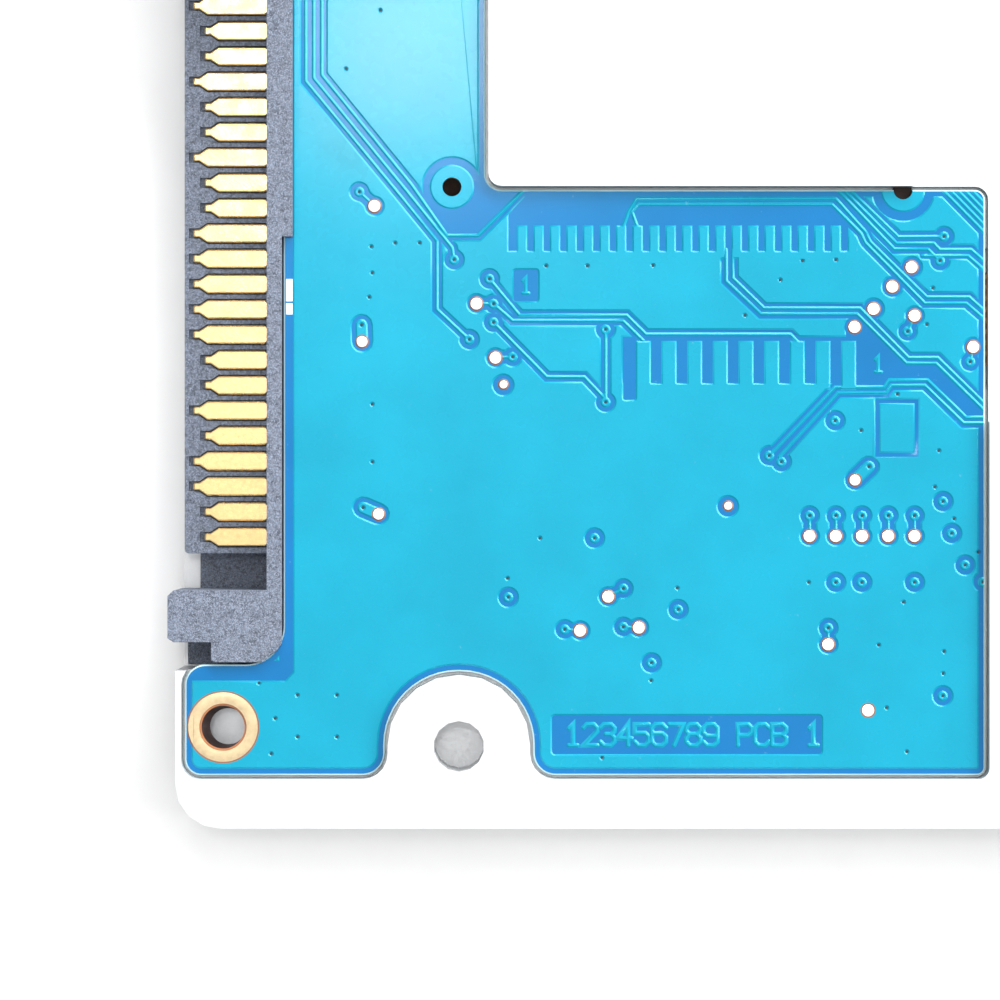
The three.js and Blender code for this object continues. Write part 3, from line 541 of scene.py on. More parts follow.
def away_from_stroke(places, points, radius):
    """Signed distance of each place from a stroke: negative inside it."""
    best = np.full(len(places), 1e9)
    pts = [np.array(p[:2], float) for p in points]
    if len(pts) == 1:
        return np.hypot(*(places - pts[0]).T) - radius
    for a, b in zip(pts, pts[1:]):
        along = b - a
        t = np.clip(((places - a) @ along) / (along @ along), 0, 1)
        best = np.minimum(best, np.hypot(*(places - a - t[:, None] * along).T))
    return best - radius


def away_from_area(places, outline):
    """Signed distance of each place from a filled outline: negative inside it."""
    corners = np.array([p[:2] for p in outline], float)
    best = np.full(len(places), 1e9)
    inside = np.zeros(len(places), bool)
    for a, b in zip(corners, np.roll(corners, -1, axis=0)):
        along = b - a
        length = along @ along
        if length < 1e-12:
            continue
        t = np.clip(((places - a) @ along) / length, 0, 1)
        best = np.minimum(best, np.hypot(*(places - a - t[:, None] * along).T))
        crosses = (a[1] > places[:, 1]) != (b[1] > places[:, 1])
        with np.errstate(divide="ignore", invalid="ignore"):
            at = (b[0] - a[0]) * (places[:, 1] - a[1]) / (b[1] - a[1]) + a[0]
        inside ^= crosses & (places[:, 0] < at)
    return np.where(inside, -best, best)


# strokes of the plain numerals and letters on the board, on a grid four wide and six high
STROKES = {
    "0": [[(0, 1), (0, 5), (1, 6), (3, 6), (4, 5), (4, 1), (3, 0), (1, 0), (0, 1)], [(0.4, 0.9), (3.6, 5.1)]],
    "1": [[(0.8, 4.8), (2, 6), (2, 0)], [(0.8, 0), (3.2, 0)]],
    "2": [[(0, 5), (1, 6), (3, 6), (4, 5), (4, 4), (0, 0), (4, 0)]],
    "3": [[(0, 5), (1, 6), (3, 6), (4, 5), (4, 4), (3, 3.2), (1.5, 3.2)],
          [(3, 3.2), (4, 2.2), (4, 1), (3, 0), (1, 0), (0, 1)]],
    "4": [[(3, 0), (3, 6), (0, 2), (4, 2)]],
    "5": [[(4, 6), (0, 6), (0, 3.5), (3, 3.5), (4, 2.5), (4, 1), (3, 0), (1, 0), (0, 1)]],
    "6": [[(4, 5), (3, 6), (1, 6), (0, 5), (0, 1), (1, 0), (3, 0), (4, 1), (4, 2.5), (3, 3.4), (0.2, 3.4)]],
    "7": [[(0, 6), (4, 6), (1.4, 0)]],
    "8": [[(1, 3.2), (0, 4), (0, 5), (1, 6), (3, 6), (4, 5), (4, 4), (3, 3.2), (1, 3.2), (0, 2.2), (0, 1), (1, 0),
           (3, 0), (4, 1), (4, 2.2), (3, 3.2)]],
    "9": [[(0, 1), (1, 0), (3, 0), (4, 1), (4, 5), (3, 6), (1, 6), (0, 5), (0, 3.6), (1, 2.7), (3.9, 2.7)]],
    "P": [[(0, 0), (0, 6), (3, 6), (4, 5), (4, 3.8), (3, 2.9), (0, 2.9)]],
    "C": [[(4, 5), (3, 6), (1, 6), (0, 5), (0, 1), (1, 0), (3, 0), (4, 1)]],
    "B": [[(0, 0), (0, 6), (3, 6), (4, 5.1), (4, 4), (3, 3.1), (0, 3.1)],
          [(3, 3.1), (4, 2.2), (4, 0.9), (3, 0), (0, 0)]],
}


def lettering(text, x, y, height, pitch):
    """The strokes of a plain text, each as a list of points."""
    unit = height / 6
    return [[(x + i * pitch + px * unit, y + py * unit) for px, py in stroke]
            for i, letter in enumerate(text) for stroke in STROKES.get(letter, [])]


class BoardDrawing:
    """Everything etched, masked or plated on the board's outer face."""

    def __init__(self, settings):
        self.trace = settings.trace_width / MM / 2
        self.channel = settings.channel_width / MM / 2
        self.margin = settings.pour_margin / MM
        self.bare_strokes, self.bare_areas = [], []
        self.copper_strokes, self.copper_areas = [], []
        self.pads, self.pits, self.gold, self.silk, self.open_holes = [], [], [], [], []

    def clear(self, *points, width=None):
        self.bare_strokes.append((list(points), (width or 2 * self.channel) / 2))

    def clear_area(self, *corners):
        area = [Vector(c) for c in corners]
        turning = sum(a.cross(b) for a, b in zip(area, area[1:] + area[:1]))
        self.bare_areas.append(area if turning > 0 else area[::-1])

    def clear_box(self, x0, x1, y0, y1, radius=0.12):
        self.bare_areas.append(rounded([(x0, y0, radius), (x1, y0, radius), (x1, y1, radius), (x0, y1, radius)], 4))

    def run(self, *points, room=None):
        """A trace in its channel."""
        self.clear(*points, width=room)
        self.copper_strokes.append((list(points), self.trace))

    def land(self, x0, x1, y0, y1):
        self.copper_areas.append([Vector(c) for c in ((x0, y0), (x1, y0), (x1, y1), (x0, y1))])

    def dot(self, *places):
        """A tented via in the copper: only its dimple shows."""
        self.pits += [(x, y, 0.14) for x, y in places]

    def via(self, *places, ring_radius=0.26, room=0.47):
        for x, y in places:
            self.bare_strokes.append(([(x, y)], room))
            self.copper_strokes.append(([(x, y)], ring_radius))
            self.pits.append((x, y, 0.13))

    def pad(self, *places, radius=0.29, room=0.5):
        for x, y in places:
            self.bare_strokes.append(([(x, y)], room))
            self.pads.append((x, y, radius))

    def pair(self, via, pad):
        """A via with its test pad."""
        self.clear(via, pad, width=0.62)
        self.via(via, room=0.45)
        self.pad(pad, room=0.45)
        self.copper_strokes.append(([via, pad], 0.08))

    def capsule(self, via, pad):
        """A via and its test pad in one oblong of copper."""
        self.clear(via, pad, width=0.98)
        self.copper_strokes.append(([via, pad], 0.3))
        self.pits.append((*via, 0.15))
        self.pads.append((*pad, 0.27))


def etched_circuit(settings):
    d = BoardDrawing(settings)
    # the bare margin behind the connector
    d.clear_area((-8.9, 3.7), (-8.6, 3.22), (-8.22, 3.65), (-8.22, 43.0), (-8.9, 43.0))
    d.clear_area((-13.3, 3.22), (-8.6, 3.22), (-8.6, 4.2), (-13.3, 4.2))
    d.silk += [(-8.56, -8.24, 22.0, 23.1), (-8.56, -8.24, 21.35, 21.9)]
    # traces that come down from the leg
    d.run((-7.6, 41), (-7.6, 32.9), (-2.9, 27.2), (-1.1, 25.0), (-1.1, 21.6), (0.5, 20.1))
    d.run((-7.2, 41), (-7.2, 33.05), (-2.6, 27.45), (-0.35, 24.65), (-0.25, 24.05))
    d.run((-6.8, 41), (-6.8, 33.2), (-2.35, 27.75), (-0.6, 25.25), (0.95, 25.25), (3.3, 27.6))
    d.via((-0.25, 24.05), (0.5, 20.1), (-7.6, 41), (-7.2, 41.6), (-6.8, 41))
    d.clear_area((-1.75, 27.7), (-1.75, 26.5), (-0.5, 25.3), (0.9, 25.3), (3.1, 27.6), (1.2, 27.9))
    d.clear(tuple(LOCATING_HOLE), width=2.9)
    d.copper_strokes.append(([tuple(LOCATING_HOLE)], 1.1))
    d.open_holes += [(*LOCATING_HOLE, SMALL_HOLE_RADIUS), (*EDGE_HOLE, SMALL_HOLE_RADIUS)]
    # the fine row of lands under the top edge
    d.clear_area((2.45, 24.5), (2.45, 26.3), (3.75, 27.7), (18.4, 27.7), (19.3, 26.6), (19.23, 24.5))
    for k in range(20):
        left = 2.86 + 0.8175 * k
        d.land(left, left + 0.52, 24.1, 25.75)
        d.clear_box(left + 0.52, left + 0.8175, 24.45, 24.62, 0.03)
    d.land(2.3, 12.99, 23.9, 24.5)
    d.land(13.78, 19.4, 23.9, 24.5)
    for x in [2.62] + [3.53 + 0.8175 * k for k in range(20)]:
        d.clear((x, 24.5), (x, 24.9), width=0.3)
    # a pair that loops over the row and crosses to the far edge
    d.run((8.15, 25.75), (8.4, 26.45), (8.8, 27.08), (18.65, 27.08), (20.15, 25.4), (20.35, 24.95), (23.15, 22.2),
          (25.25, 22.2), (26.1, 21.45))
    d.run((8.8, 25.75), (8.55, 26.45), (8.9, 26.8), (18.45, 26.8), (19.9, 25.35), (20.1, 24.9), (23.05, 21.9),
          (25.1, 21.9), (26.1, 21.05))
    # a pair that leaves the row downwards
    d.run((13.55, 24.55), (13.55, 23.15), (15.1, 21.65), (19.85, 21.65), (22.25, 19.2), (23.7, 19.2), (26.1, 16.85))
    d.run((13.22, 24.55), (13.22, 23.0), (14.95, 21.37), (19.7, 21.37), (22.15, 18.93), (23.6, 18.93), (26.1, 16.5))
    # the top right corner
    d.run((19.25, 27.6), (21.75, 25.18), (24.0, 25.2))
    d.run((18.95, 27.6), (21.65, 24.87), (23.5, 24.87), (23.8, 24.55), (25.35, 24.55), (26.1, 23.9))
    d.run((18.65, 27.6), (21.55, 24.58), (23.2, 24.58), (23.8, 24.0))
    d.run((22.95, 24.25), (25.2, 24.25), (26.1, 23.45), room=0.3)
    d.via((24.0, 25.2), (23.8, 24.0))
    d.clear(tuple(EDGE_HOLE), width=3.06)
    d.copper_strokes.append(([tuple(EDGE_HOLE)], 1.1))
    for k in range(5):
        d.run((23.75 + 0.36 * k, 27.7), (26.2, 25.2 + 0.36 * k))
    d.pad((22.4, 23.68), (21.45, 22.72), (20.52, 21.62), (19.58, 20.72))
    d.pair((22.2, 20.5), (22.55, 21.28))
    d.pair((25.3, 19.0), (25.45, 19.73))
    # the group at the upper left
    d.run((1.5, 23.1), (3.0, 21.3), (8.3, 21.3), (9.25, 20.36), (16.4, 20.36), (16.75, 20.0))
    d.run((1.7, 21.87), (2.65, 21.04), (8.1, 21.04), (9.1, 20.06))
    d.run((1.7, 20.95), (4.35, 18.25), (6.2, 18.25), (7.2, 17.2))
    d.run((7.25, 20.6), (7.25, 17.0))
    d.via((1.5, 23.1), (1.7, 20.95), (7.25, 20.6), (7.25, 17.0))
    d.pair((1.7, 21.87), (0.86, 21.88))
    d.pair((2.65, 19.24), (1.8, 19.2))
    d.clear_box(2.7, 3.92, 22.0, 23.56)
    # the coarse row of lands
    d.clear_area((8.1, 17.95), (18.55, 17.95), (21.0, 17.95), (21.25, 18.25), (23.2, 18.25), (25.1, 16.4), (26.2, 16.4),
                 (26.2, 16.6), (23.65, 18.9), (22.1, 18.9), (19.75, 21.2), (19.15, 21.0), (19.15, 20.24), (8.1, 20.24))
    d.clear_box(8.13, 8.75, 17.12, 18.0, 0.1)
    for k in range(9):
        left = 8.75 + 1.27 * k
        d.land(left, left + 0.75, 17.6, 20.04)
    d.copper_strokes += [(s, 0.09) for s in lettering("1", 20.5, 18.5, 0.75, 1)]
    d.copper_strokes += [(s, 0.09) for s in lettering("1", 3.05, 22.4, 0.75, 1)]
    # a pair that runs off below the row
    d.run((15.35, 14.35), (18.62, 17.75), (21.05, 17.75), (21.3, 18.1), (23.2, 18.1), (25.1, 16.25), (26.2, 16.25))
    d.run((15.85, 14.3), (18.78, 17.47), (21.15, 17.47), (21.4, 17.84), (23.05, 17.84), (24.98, 15.97), (26.2, 15.97))
    d.via((15.35, 14.35), (15.95, 14.05))
    # an outlined land
    d.clear((20.7, 17.05), (22.65, 17.05), (22.65, 14.4), (20.7, 14.4), (20.7, 17.1), width=0.19)
    # vias, dimples and test pads
    d.via((6.7, 10.27), (2.43, 7.34), (10.84, 6.73), (9.52, 4.09), (18.61, 16.08), (23.95, 12.08), (24.38, 10.5),
          (25.05, 8.93), (25.94, 8.1), (18.64, 8.08), (19.93, 8.08), (22.54, 8.08), (23.94, 2.46))
    d.pair((8.13, 7.77), (7.38, 7.37))
    d.pair((5.23, 5.75), (5.99, 5.69))
    d.pair((8.13, 5.87), (8.9, 5.84))
    d.pair((18.27, 5.82), (18.27, 5.01))
    for k in range(5):
        d.pair((17.35 + 1.298 * k, 11.38), (17.35 + 1.298 * k, 10.37))
    d.capsule((20.29, 13.81), (19.6, 13.15))
    d.capsule((-4.83, 20.82), (-4.8, 20.0))
    d.capsule((-4.75, 11.78), (-3.98, 11.46))
    d.pair((-4.94, 27.41), (-4.19, 26.71))
    d.pads.append((20.25, 1.75, 0.3))
    for x, y in ((2.18, 17.85), (13.3, 11.84)):
        d.clear((x, y), width=1.0)
        d.pads.append((x + 0.02, y + 0.03, 0.2))
    d.dot((-9.9, 3.1), (-8.0, 2.5), (-6.05, 2.5), (-9.1, 1.35), (-8.0, 0.43), (-6.05, 0.43), (-9.3, -0.4),
          (-4.35, 24.7), (-3.17, 24.88), (-1.96, 24.88), (-4.3, 23.4), (-4.45, 22.2), (-4.3, 16.9), (-4.3, 14.04),
          (4.3, 23.75), (6.35, 23.75), (9.6, 23.77), (4.0, 10.27), (2.4, 8.28), (9.5, 3.22), (10.8, 7.8),
          (21.7, 17.4), (19.9, 15.6), (23.75, 14.6), (23.55, 12.8), (24.5, 11.23), (25.7, 9.58), (17.3, 8.08),
          (22.0, 7.1), (20.77, 4.98), (24.0, 4.66), (23.96, 3.57), (21.16, 1.87), (22.16, -0.3), (7.07, -0.6),
          (23.45, 22.65), (23.15, 20.85), (14.15, 21.05 + 0.25), (15.9, 23.05), (17.0, 24.0), (18.65, 24.05))
    d.dot(*[(-5.6 + 1.7 * (k % 4), 33.5 + 2.9 * k) for k in range(8)])
    # the numbered panel
    d.clear_box(4.6, 17.95, -0.42, 1.5, 0.16)
    d.copper_strokes += [(s, 0.115) for s in lettering("123456789 PCB 1", 5.3, 0.02, 1.04, 0.85)]
    # the plated corner hole and the two screw seats
    d.open_holes.append((*CORNER_HOLE, CORNER_HOLE_RADIUS))
    d.gold.append((*CORNER_HOLE, 1.2, 1.72))
    for x, y in ((-11.68, 60.8), (-1.6, 53.26)):
        d.open_holes.append((x, y, 1.1))
        d.gold.append((x, y, 1.14, 2.2))
    for k in range(6):
        d.dot((-6.5 + 0.9 * k, 50.6 - 0.35 * (k % 2)))
    return d


def board_heights(d, places, edge, outline):
    """How deep each place lies in the copper (positive) or out of it (negative), and how deep in a pit."""
    bare = away_from_area(places, outline) * -1 - d.margin
    for points, radius in d.bare_strokes:
        bare = np.minimum(bare, away_from_stroke(places, points, radius))
    for area in d.bare_areas:
        bare = np.minimum(bare, away_from_area(places, area))
    copper = np.full(len(places), -1e9)
    for points, radius in d.copper_strokes:
        copper = np.maximum(copper, -away_from_stroke(places, points, radius))
    for area in d.copper_areas:
        copper = np.maximum(copper, -away_from_area(places, area))
    for x, y, radius in d.pads:
        copper = np.maximum(copper, -away_from_stroke(places, [(x, y)], radius + edge))
    inside = np.maximum(bare, copper)
    for x, y, _, outer in d.gold:
        inside = np.maximum(inside, -away_from_stroke(places, [(x, y)], outer + edge))
    pit = np.full(len(places), -1e9)
    for x, y, radius in d.pits:
        pit = np.maximum(pit, -away_from_stroke(places, [(x, y)], radius))
    return inside, pit


def board_mesh(settings):
    """The board's whole skin: etched outer face, cut edges and flat inner face, as one closed mesh."""
    d = etched_circuit(settings)
    edge = settings.edge_width / MM
    height = settings.copper_height / MM
    outline = board_outline()
    loops = [outline, grown(outline, -RIM), grown(outline, -d.margin), grown(outline, -d.margin - edge)]
    for points, radius in d.bare_strokes:
        loops += [ribbon(points, radius), ribbon(points, radius + edge)]
    for points, radius in d.copper_strokes:
        loops += [ribbon(points, radius), ribbon(points, max(0.012, radius - edge))]
    for area in d.bare_areas:
        loops += [area, grown(area, edge)]
    for area in d.copper_areas:
        loops += [area, grown(area, -edge)]
    for x, y, radius in d.pads:
        loops += [ring(x, y, radius + edge), ring(x, y, radius), ring(x, y, radius * 0.6)]
    for x, y, radius in d.pits:
        loops += [ring(x, y, radius, 14), ring(x, y, radius * 0.55, 10)]
    for x, y, inner, outer in d.gold:
        loops += [ring(x, y, outer + edge, 72), ring(x, y, outer, 72), ring(x, y, (inner + outer) / 2, 72),
                  ring(x, y, inner, 72)]
    for x0, x1, y0, y1 in d.silk:
        loops.append([Vector(c) for c in ((x0, y0), (x1, y0), (x1, y1), (x0, y1))])
    loops += [ring(x, y, radius, 64) for x, y, radius in d.open_holes]
    points, edges = [], []
    for loop in loops:
        first = len(points)
        points += loop
        edges += [(first + i, first + (i + 1) % len(loop)) for i in range(len(loop))]
    flat, _, faces, *_ = delaunay_2d_cdt(points, edges, [], 0, 1e-4)
    flat = np.array([tuple(p) for p in flat])
    faces = np.array([f for f in faces if len(f) == 3])
    middles = flat[faces].mean(axis=1)
    kept = away_from_area(middles, outline) < 0
    for x, y, radius in d.open_holes:
        kept &= away_from_area(middles, ring(x, y, radius, 64)) > 0
    faces, middles = faces[kept], middles[kept]

    inside, pit = board_heights(d, flat, edge, outline)
    step = np.clip(inside / edge, 0, 1)
    level = BOARD_TOP - 0.5 * height + height * step
    rim = away_from_area(flat, outline)
    level -= RIM * np.clip(1 + rim / RIM, 0, 1)
    level -= PIT_DEPTH * np.clip(pit / PIT_SLOPE, 0, 1)
    for x, y, inner, outer in d.gold:
        reach = np.hypot(flat[:, 0] - x, flat[:, 1] - y)
        from_middle = (reach - (inner + outer) / 2) / ((outer - inner) / 2)
        level += np.where(reach < outer + edge, RING_DOME * np.clip(1 - from_middle ** 2, 0, 1), 0)
    for x, y, radius in d.pads:
        reach = np.hypot(flat[:, 0] - x, flat[:, 1] - y)
        level += PAD_DOME * np.clip(1 - (reach / radius) ** 2, 0, 1)

    mid_inside, mid_pit = board_heights(d, middles, edge, outline)
    kind = np.where(mid_inside > 0, COPPER, LAMINATE)
    # the dimple's floor is painted near black: painted shade of the via hole under the mask
    kind[mid_pit > PIT_SLOPE - 0.002] = DIMPLE
    kind[away_from_area(middles, outline) > -RIM * 0.9] = EDGE
    for x, y, radius in d.pads:
        reach = np.hypot(middles[:, 0] - x, middles[:, 1] - y)
        kind[reach < radius + edge] = MASK_RIM
        kind[reach < radius] = TEST_PAD
    for x, y, inner, outer in d.gold:
        reach = np.hypot(middles[:, 0] - x, middles[:, 1] - y)
        kind[reach < outer] = GOLD
        kind[(reach < outer + edge) & (kind != GOLD)] = MASK_RIM
    for x0, x1, y0, y1 in d.silk:
        kind[(middles[:, 0] > x0) & (middles[:, 0] < x1) & (middles[:, 1] > y0) & (middles[:, 1] < y1)] = INK

    made = bmesh.new()
    ox, oy = NOTCH
    corners = [made.verts.new(((x + ox) * MM, (y + oy) * MM, z * MM)) for (x, y), z in zip(flat, level)]
    for (a, b, c), material in zip(faces.tolist(), kind.tolist()):
        made.faces.new((corners[a], corners[b], corners[c])).material_index = material
    bmesh.ops.delete(made, geom=[v for v in made.verts if not v.link_faces], context="VERTS")
    bmesh.ops.recalc_face_normals(made, faces=made.faces)
    rim = [e for e in made.edges if e.is_boundary]
    skirt = bmesh.ops.extrude_edge_only(made, edges=rim)["geom"]
    for element in skirt:
        if isinstance(element, bmesh.types.BMVert):
            element.co.z = BOARD_UNDER * MM
    hole_places = [(x + ox, y + oy, r) for x, y, r in d.open_holes]
    for element in skirt:
        if isinstance(element, bmesh.types.BMFace):
            element.material_index = EDGE
            at = element.calc_center_median() / MM
            if any(abs(math.hypot(at.x - x, at.y - y) - r) < 0.05 for x, y, r in hole_places):
                element.material_index = GOLD
    lower_rim = [e for e in made.edges if e.is_boundary]
    under = bmesh.ops.triangle_fill(made, edges=lower_rim, use_beauty=True, normal=(0, 0, -1))["geom"]
    for element in under:
        if isinstance(element, bmesh.types.BMFace):
            element.material_index = LAMINATE
    bmesh.ops.recalc_face_normals(made, faces=made.faces)
    # flats stay flat, and only the slopes are smooth among themselves
    for edge_line in made.edges:
        tilts = [abs(f.normal.z) for f in edge_line.link_faces]
        edge_line.smooth = not (max(tilts) > 0.9995 or min(tilts) < 0.3) and max(tilts) - min(tilts) < 0.1
    for face in made.faces:
        face.smooth = 0.3 < abs(face.normal.z) < 0.9995
    mesh = bpy.data.meshes.new("etched_board")
    made.to_mesh(mesh)
    made.free()
    return mesh


# ---------------------------------------------------------------- operators
class HDD_OT_board(bpy.types.Operator):
    """Makes the circuit board with its etched and masked face"""

    bl_idname = "hdd.board"
    bl_label = "Circuit Board"

    def execute(self, context):
        settings = context.scene.hdd_board
        board = bpy.data.objects.new("etched_board", board_mesh(settings))
        context.scene.collection.objects.link(board)
        for material in (
            mask_over("mask_over_copper", tuple(settings.copper_colour), 0.27),
            mask_over("mask_over_laminate", tuple(settings.laminate_colour), 0.3),
            bare_metal("tinned_pad", (0.93, 0.9, 0.88), 0.3, 4000),
            bare_metal("gold_ring", (0.56, 0.44, 0.27), 0.36, 3500, 0.006, 0.15),
            # near black: painted shade in the via dimples
            smooth_plastic("mask_dimple", (0.002, 0.02, 0.035), 0.5),
            laminate_edge(),
            smooth_plastic("mask_rim", (0.2, 0.085, 0.05), 0.4),
            smooth_plastic("legend_ink", (0.92, 0.94, 0.94), 0.6),
        ):
            board.data.materials.append(material)
        settle(board, "drive", "board", "circuit_board")
        self.corner_barrel()
        paint("controller_chip", smooth_plastic("chip_epoxy", (0.02, 0.021, 0.023), 0.5, 3500))
        return {"FINISHED"}

    def corner_barrel(self):
        """The plated barrel in the corner hole, drilled at a slant, its wall painted dark as the shade inside the hole.
        """
        wall, lean, taper = 0.1, 0.2, 0.84
        x, y = NOTCH + CORNER_HOLE
        barrel = cylinder("corner_barrel", CORNER_HOLE, CORNER_HOLE_RADIUS - 0.005, BOARD_UNDER, BOARD_TOP - 0.06, 64)
        bpy.ops.object.mode_set(mode="EDIT")
        shape = bmesh.from_edit_mesh(barrel.data)
        for face in shape.faces:
            face.select = abs(face.normal.z) > 0.9
        bmesh.update_edit_mesh(barrel.data)
        bpy.ops.mesh.inset(thickness=wall * MM, depth=0, use_individual=True)
        bpy.ops.mesh.bridge_edge_loops()
        shape = bmesh.from_edit_mesh(barrel.data)
        for vert in shape.verts:
            offset = vert.co.xy / MM - Vector((x, y))
            if offset.length < CORNER_HOLE_RADIUS - wall / 2 and vert.co.z / MM < BOARD_UNDER + 0.1:
                vert.co.xy = (Vector((x + lean, y)) + offset * taper) * MM
        bmesh.update_edit_mesh(barrel.data)
        bpy.ops.mesh.select_all(action="SELECT")
        bpy.ops.mesh.normals_make_consistent(inside=False)
        bpy.ops.object.mode_set(mode="OBJECT")
        barrel.data.materials.append(smooth_plastic("hole_copper", (0.36, 0.13, 0.045), 0.45))
        # the wall is a much darker copy of the plating: painted shade inside the hole
        barrel.data.materials.append(bare_metal("hole_wall_shade", (0.12, 0.085, 0.08), 0.5, 3000))
        for face in barrel.data.polygons:
            face.material_index = 0 if face.normal.z > 0.9 else 1
        settle(barrel, "drive", "board")


class HDD_OT_shade_pad(bpy.types.Operator):
    """Lays the dark pad that fills the casting's pocket under the board's leg: painted shade, which shows dark through
    the board's locating hole
    """

    bl_idname = "hdd.foam_pad"
    bl_label = "Shade Pad"

    def execute(self, context):
        low, high = Vector((-42.6, -23.6, 4.87)), Vector((-35.15, 13.6, 5.5))
        bpy.ops.object.select_all(action="DESELECT")
        bpy.ops.mesh.primitive_cube_add(size=1, location=(low + high) / 2 * MM)
        pad = context.object
        pad.name = "foam_pad"
        pad.dimensions = (high - low) * MM
        bpy.ops.object.transform_apply(location=True, rotation=True, scale=True)
        bpy.ops.object.mode_set(mode="EDIT")
        bpy.ops.mesh.select_all(action="SELECT")
        bpy.ops.mesh.subdivide(number_cuts=3)
        bpy.ops.mesh.select_all(action="SELECT")
        bpy.ops.mesh.vertices_smooth(factor=0.3, repeat=1)
        bpy.ops.object.mode_set(mode="OBJECT")
        round_edges(pad, 0.15)
        # near black: a pad of painted shade that darkens the locating hole and the edge hole above it
        shade_foam = smooth_plastic("painted_shade_foam", (0.016, 0.009, 0.007), 0.95, 5000)
        pad.data.materials.append(shade_foam)
        settle(pad, "drive", "gasket")
        self.edge_shade_plug(shade_foam)
        return {"FINISHED"}

    def edge_shade_plug(self, shade_foam):
        """The half-round plug, of the same dark material, in the hole that the board's far edge cuts through: painted
        shade in that hole.
        """
        plug = cylinder("edge_shade_plug", EDGE_HOLE, SMALL_HOLE_RADIUS - 0.015, BOARD_UNDER, BOARD_TOP - 0.25, 40)
        cut = (NOTCH + EDGE_HOLE).y + 0.1
        bpy.ops.object.mode_set(mode="EDIT")
        bpy.ops.mesh.select_all(action="SELECT")
        bpy.ops.mesh.bisect(plane_co=(0, cut * MM, 0), plane_no=(0, 1, 0), clear_outer=True, use_fill=True)
        bpy.ops.object.mode_set(mode="OBJECT")
        round_edges(plug, 0.04)
        # the plug's near-black material is painted shade in the half hole
        plug.data.materials.append(shade_foam)
        settle(plug, "drive", "gasket")


class HDD_OT_connector(bpy.types.Operator):
    """Finishes the connector's plastic and its gold contacts"""

    bl_idname = "hdd.connector"
    bl_label = "Connector"

    def execute(self, context):
        settings = context.scene.hdd_connector
        paint("connector_housing", glass_filled_plastic(tuple(settings.plastic_colour)))
        soften("connector_housing", 0.07)
        gold = bare_metal("gold_plate", tuple(settings.gold_colour), 0.24, 5000, 0.004, 0.1)
        for node in NODES:
            if "_contact_" in node:
                paint(node, gold)
                soften(node, settings.contact_rounding / MM, 3)
        return {"FINISHED"}


class HDD_OT_casting(bpy.types.Operator):
    """Finishes the cast base and its gasket"""

    bl_idname = "hdd.casting"
    bl_label = "Casting"

    def execute(self, context):
        paint("base_casting", cast_aluminium())
        paint("cover_gasket", smooth_plastic("gasket_rubber", (0.016, 0.016, 0.018), 0.7))
        return {"FINISHED"}


class HDD_OT_cover(bpy.types.Operator):
    """Finishes the cover, its label and all the screws"""

    bl_idname = "hdd.cover"
    bl_label = "Cover and Screws"

    def execute(self, context):
        paint("top_cover", brushed_metal("cover_steel", (0.66, 0.68, 0.7), 0.32))
        paint("cover_label", printed_label())
        steel = bare_metal("screw_steel", (0.5, 0.51, 0.53), 0.3, 2600, 0.005, 0.2)
        for node in NODES:
            if "screw" in node:
                paint(node, steel)
                soften(node, 0.05)
        cloth = filter_cloth()
        paint("breather_filter", cloth)
        paint("air_filter", cloth)
        return {"FINISHED"}


class HDD_OT_disk_stack(bpy.types.Operator):
    """Finishes the motor, the hub and the disk"""

    bl_idname = "hdd.disk_stack"
    bl_label = "Disk Stack"

    def execute(self, context):
        low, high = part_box("platter")
        centre = ((low + high) / 2)[:2]
        bright = turned_metal("turned_steel", (0.78, 0.79, 0.8), 0.22, centre)
        for node in ("spindle_hub", "disk_clamp", "bearing_sleeve"):
            paint(node, bright)
        paint("rotor_magnet", bare_metal("magnet_nickel", (0.55, 0.56, 0.57), 0.35))
        paint("platter", polished_disk())
        paint("motor_stator", wound_wire("motor_wire", (0.72, 0.32, 0.12), centre))
        return {"FINISHED"}


class HDD_OT_actuator(bpy.types.Operator):
    """Finishes the head actuator, its magnets, ramp, latch and ribbon"""

    bl_idname = "hdd.actuator"
    bl_label = "Actuator"

    def execute(self, context):
        paint("actuator_arm", bare_metal("arm_aluminium", (0.82, 0.83, 0.84), 0.34, 2500))
        steel = brushed_metal("suspension_steel", (0.74, 0.75, 0.76), 0.25, 1.4)
        for node in ("head_suspension_lower", "head_suspension_upper", "pivot_bearing", "pivot_post"):
            paint(node, steel)
        nickel = bare_metal("yoke_nickel", (0.6, 0.61, 0.62), 0.3, 1800)
        for node in ("lower_yoke", "upper_yoke", "coil_magnet"):
            paint(node, nickel)
        paint("voice_coil", wound_wire("coil_wire", (0.75, 0.34, 0.12)))
        acetal = smooth_plastic("ivory_acetal", (0.78, 0.75, 0.64), 0.4)
        paint("load_ramp", acetal)
        paint("shock_latch", acetal)
        paint("flex_connector", smooth_plastic("connector_block", (0.03, 0.03, 0.035), 0.5))
        film = flex_film()
        paint("motor_flex", film)
        self.bending_ribbon(film)
        return {"FINISHED"}

    def bending_ribbon(self, film):
        """The ribbon from the fixed connector block to the arm, a copy of the carried-over ribbon."""
        carried = NODES["flex_ribbon"]
        ribbon = bpy.data.objects.new("bending_ribbon", carried.data.copy())
        bpy.context.scene.collection.objects.link(ribbon)
        ribbon.matrix_world = carried.matrix_world
        only(ribbon)
        bpy.ops.object.transform_apply(location=True, rotation=True, scale=True)
        bpy.ops.object.mode_set(mode="EDIT")
        bpy.ops.mesh.select_all(action="SELECT")
        bpy.ops.mesh.remove_doubles(threshold=0.002 * MM)
        bpy.ops.object.mode_set(mode="OBJECT")
        ribbon.data.materials.clear()
        ribbon.data.materials.append(film)
        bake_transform(ribbon)
        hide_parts("flex_ribbon")


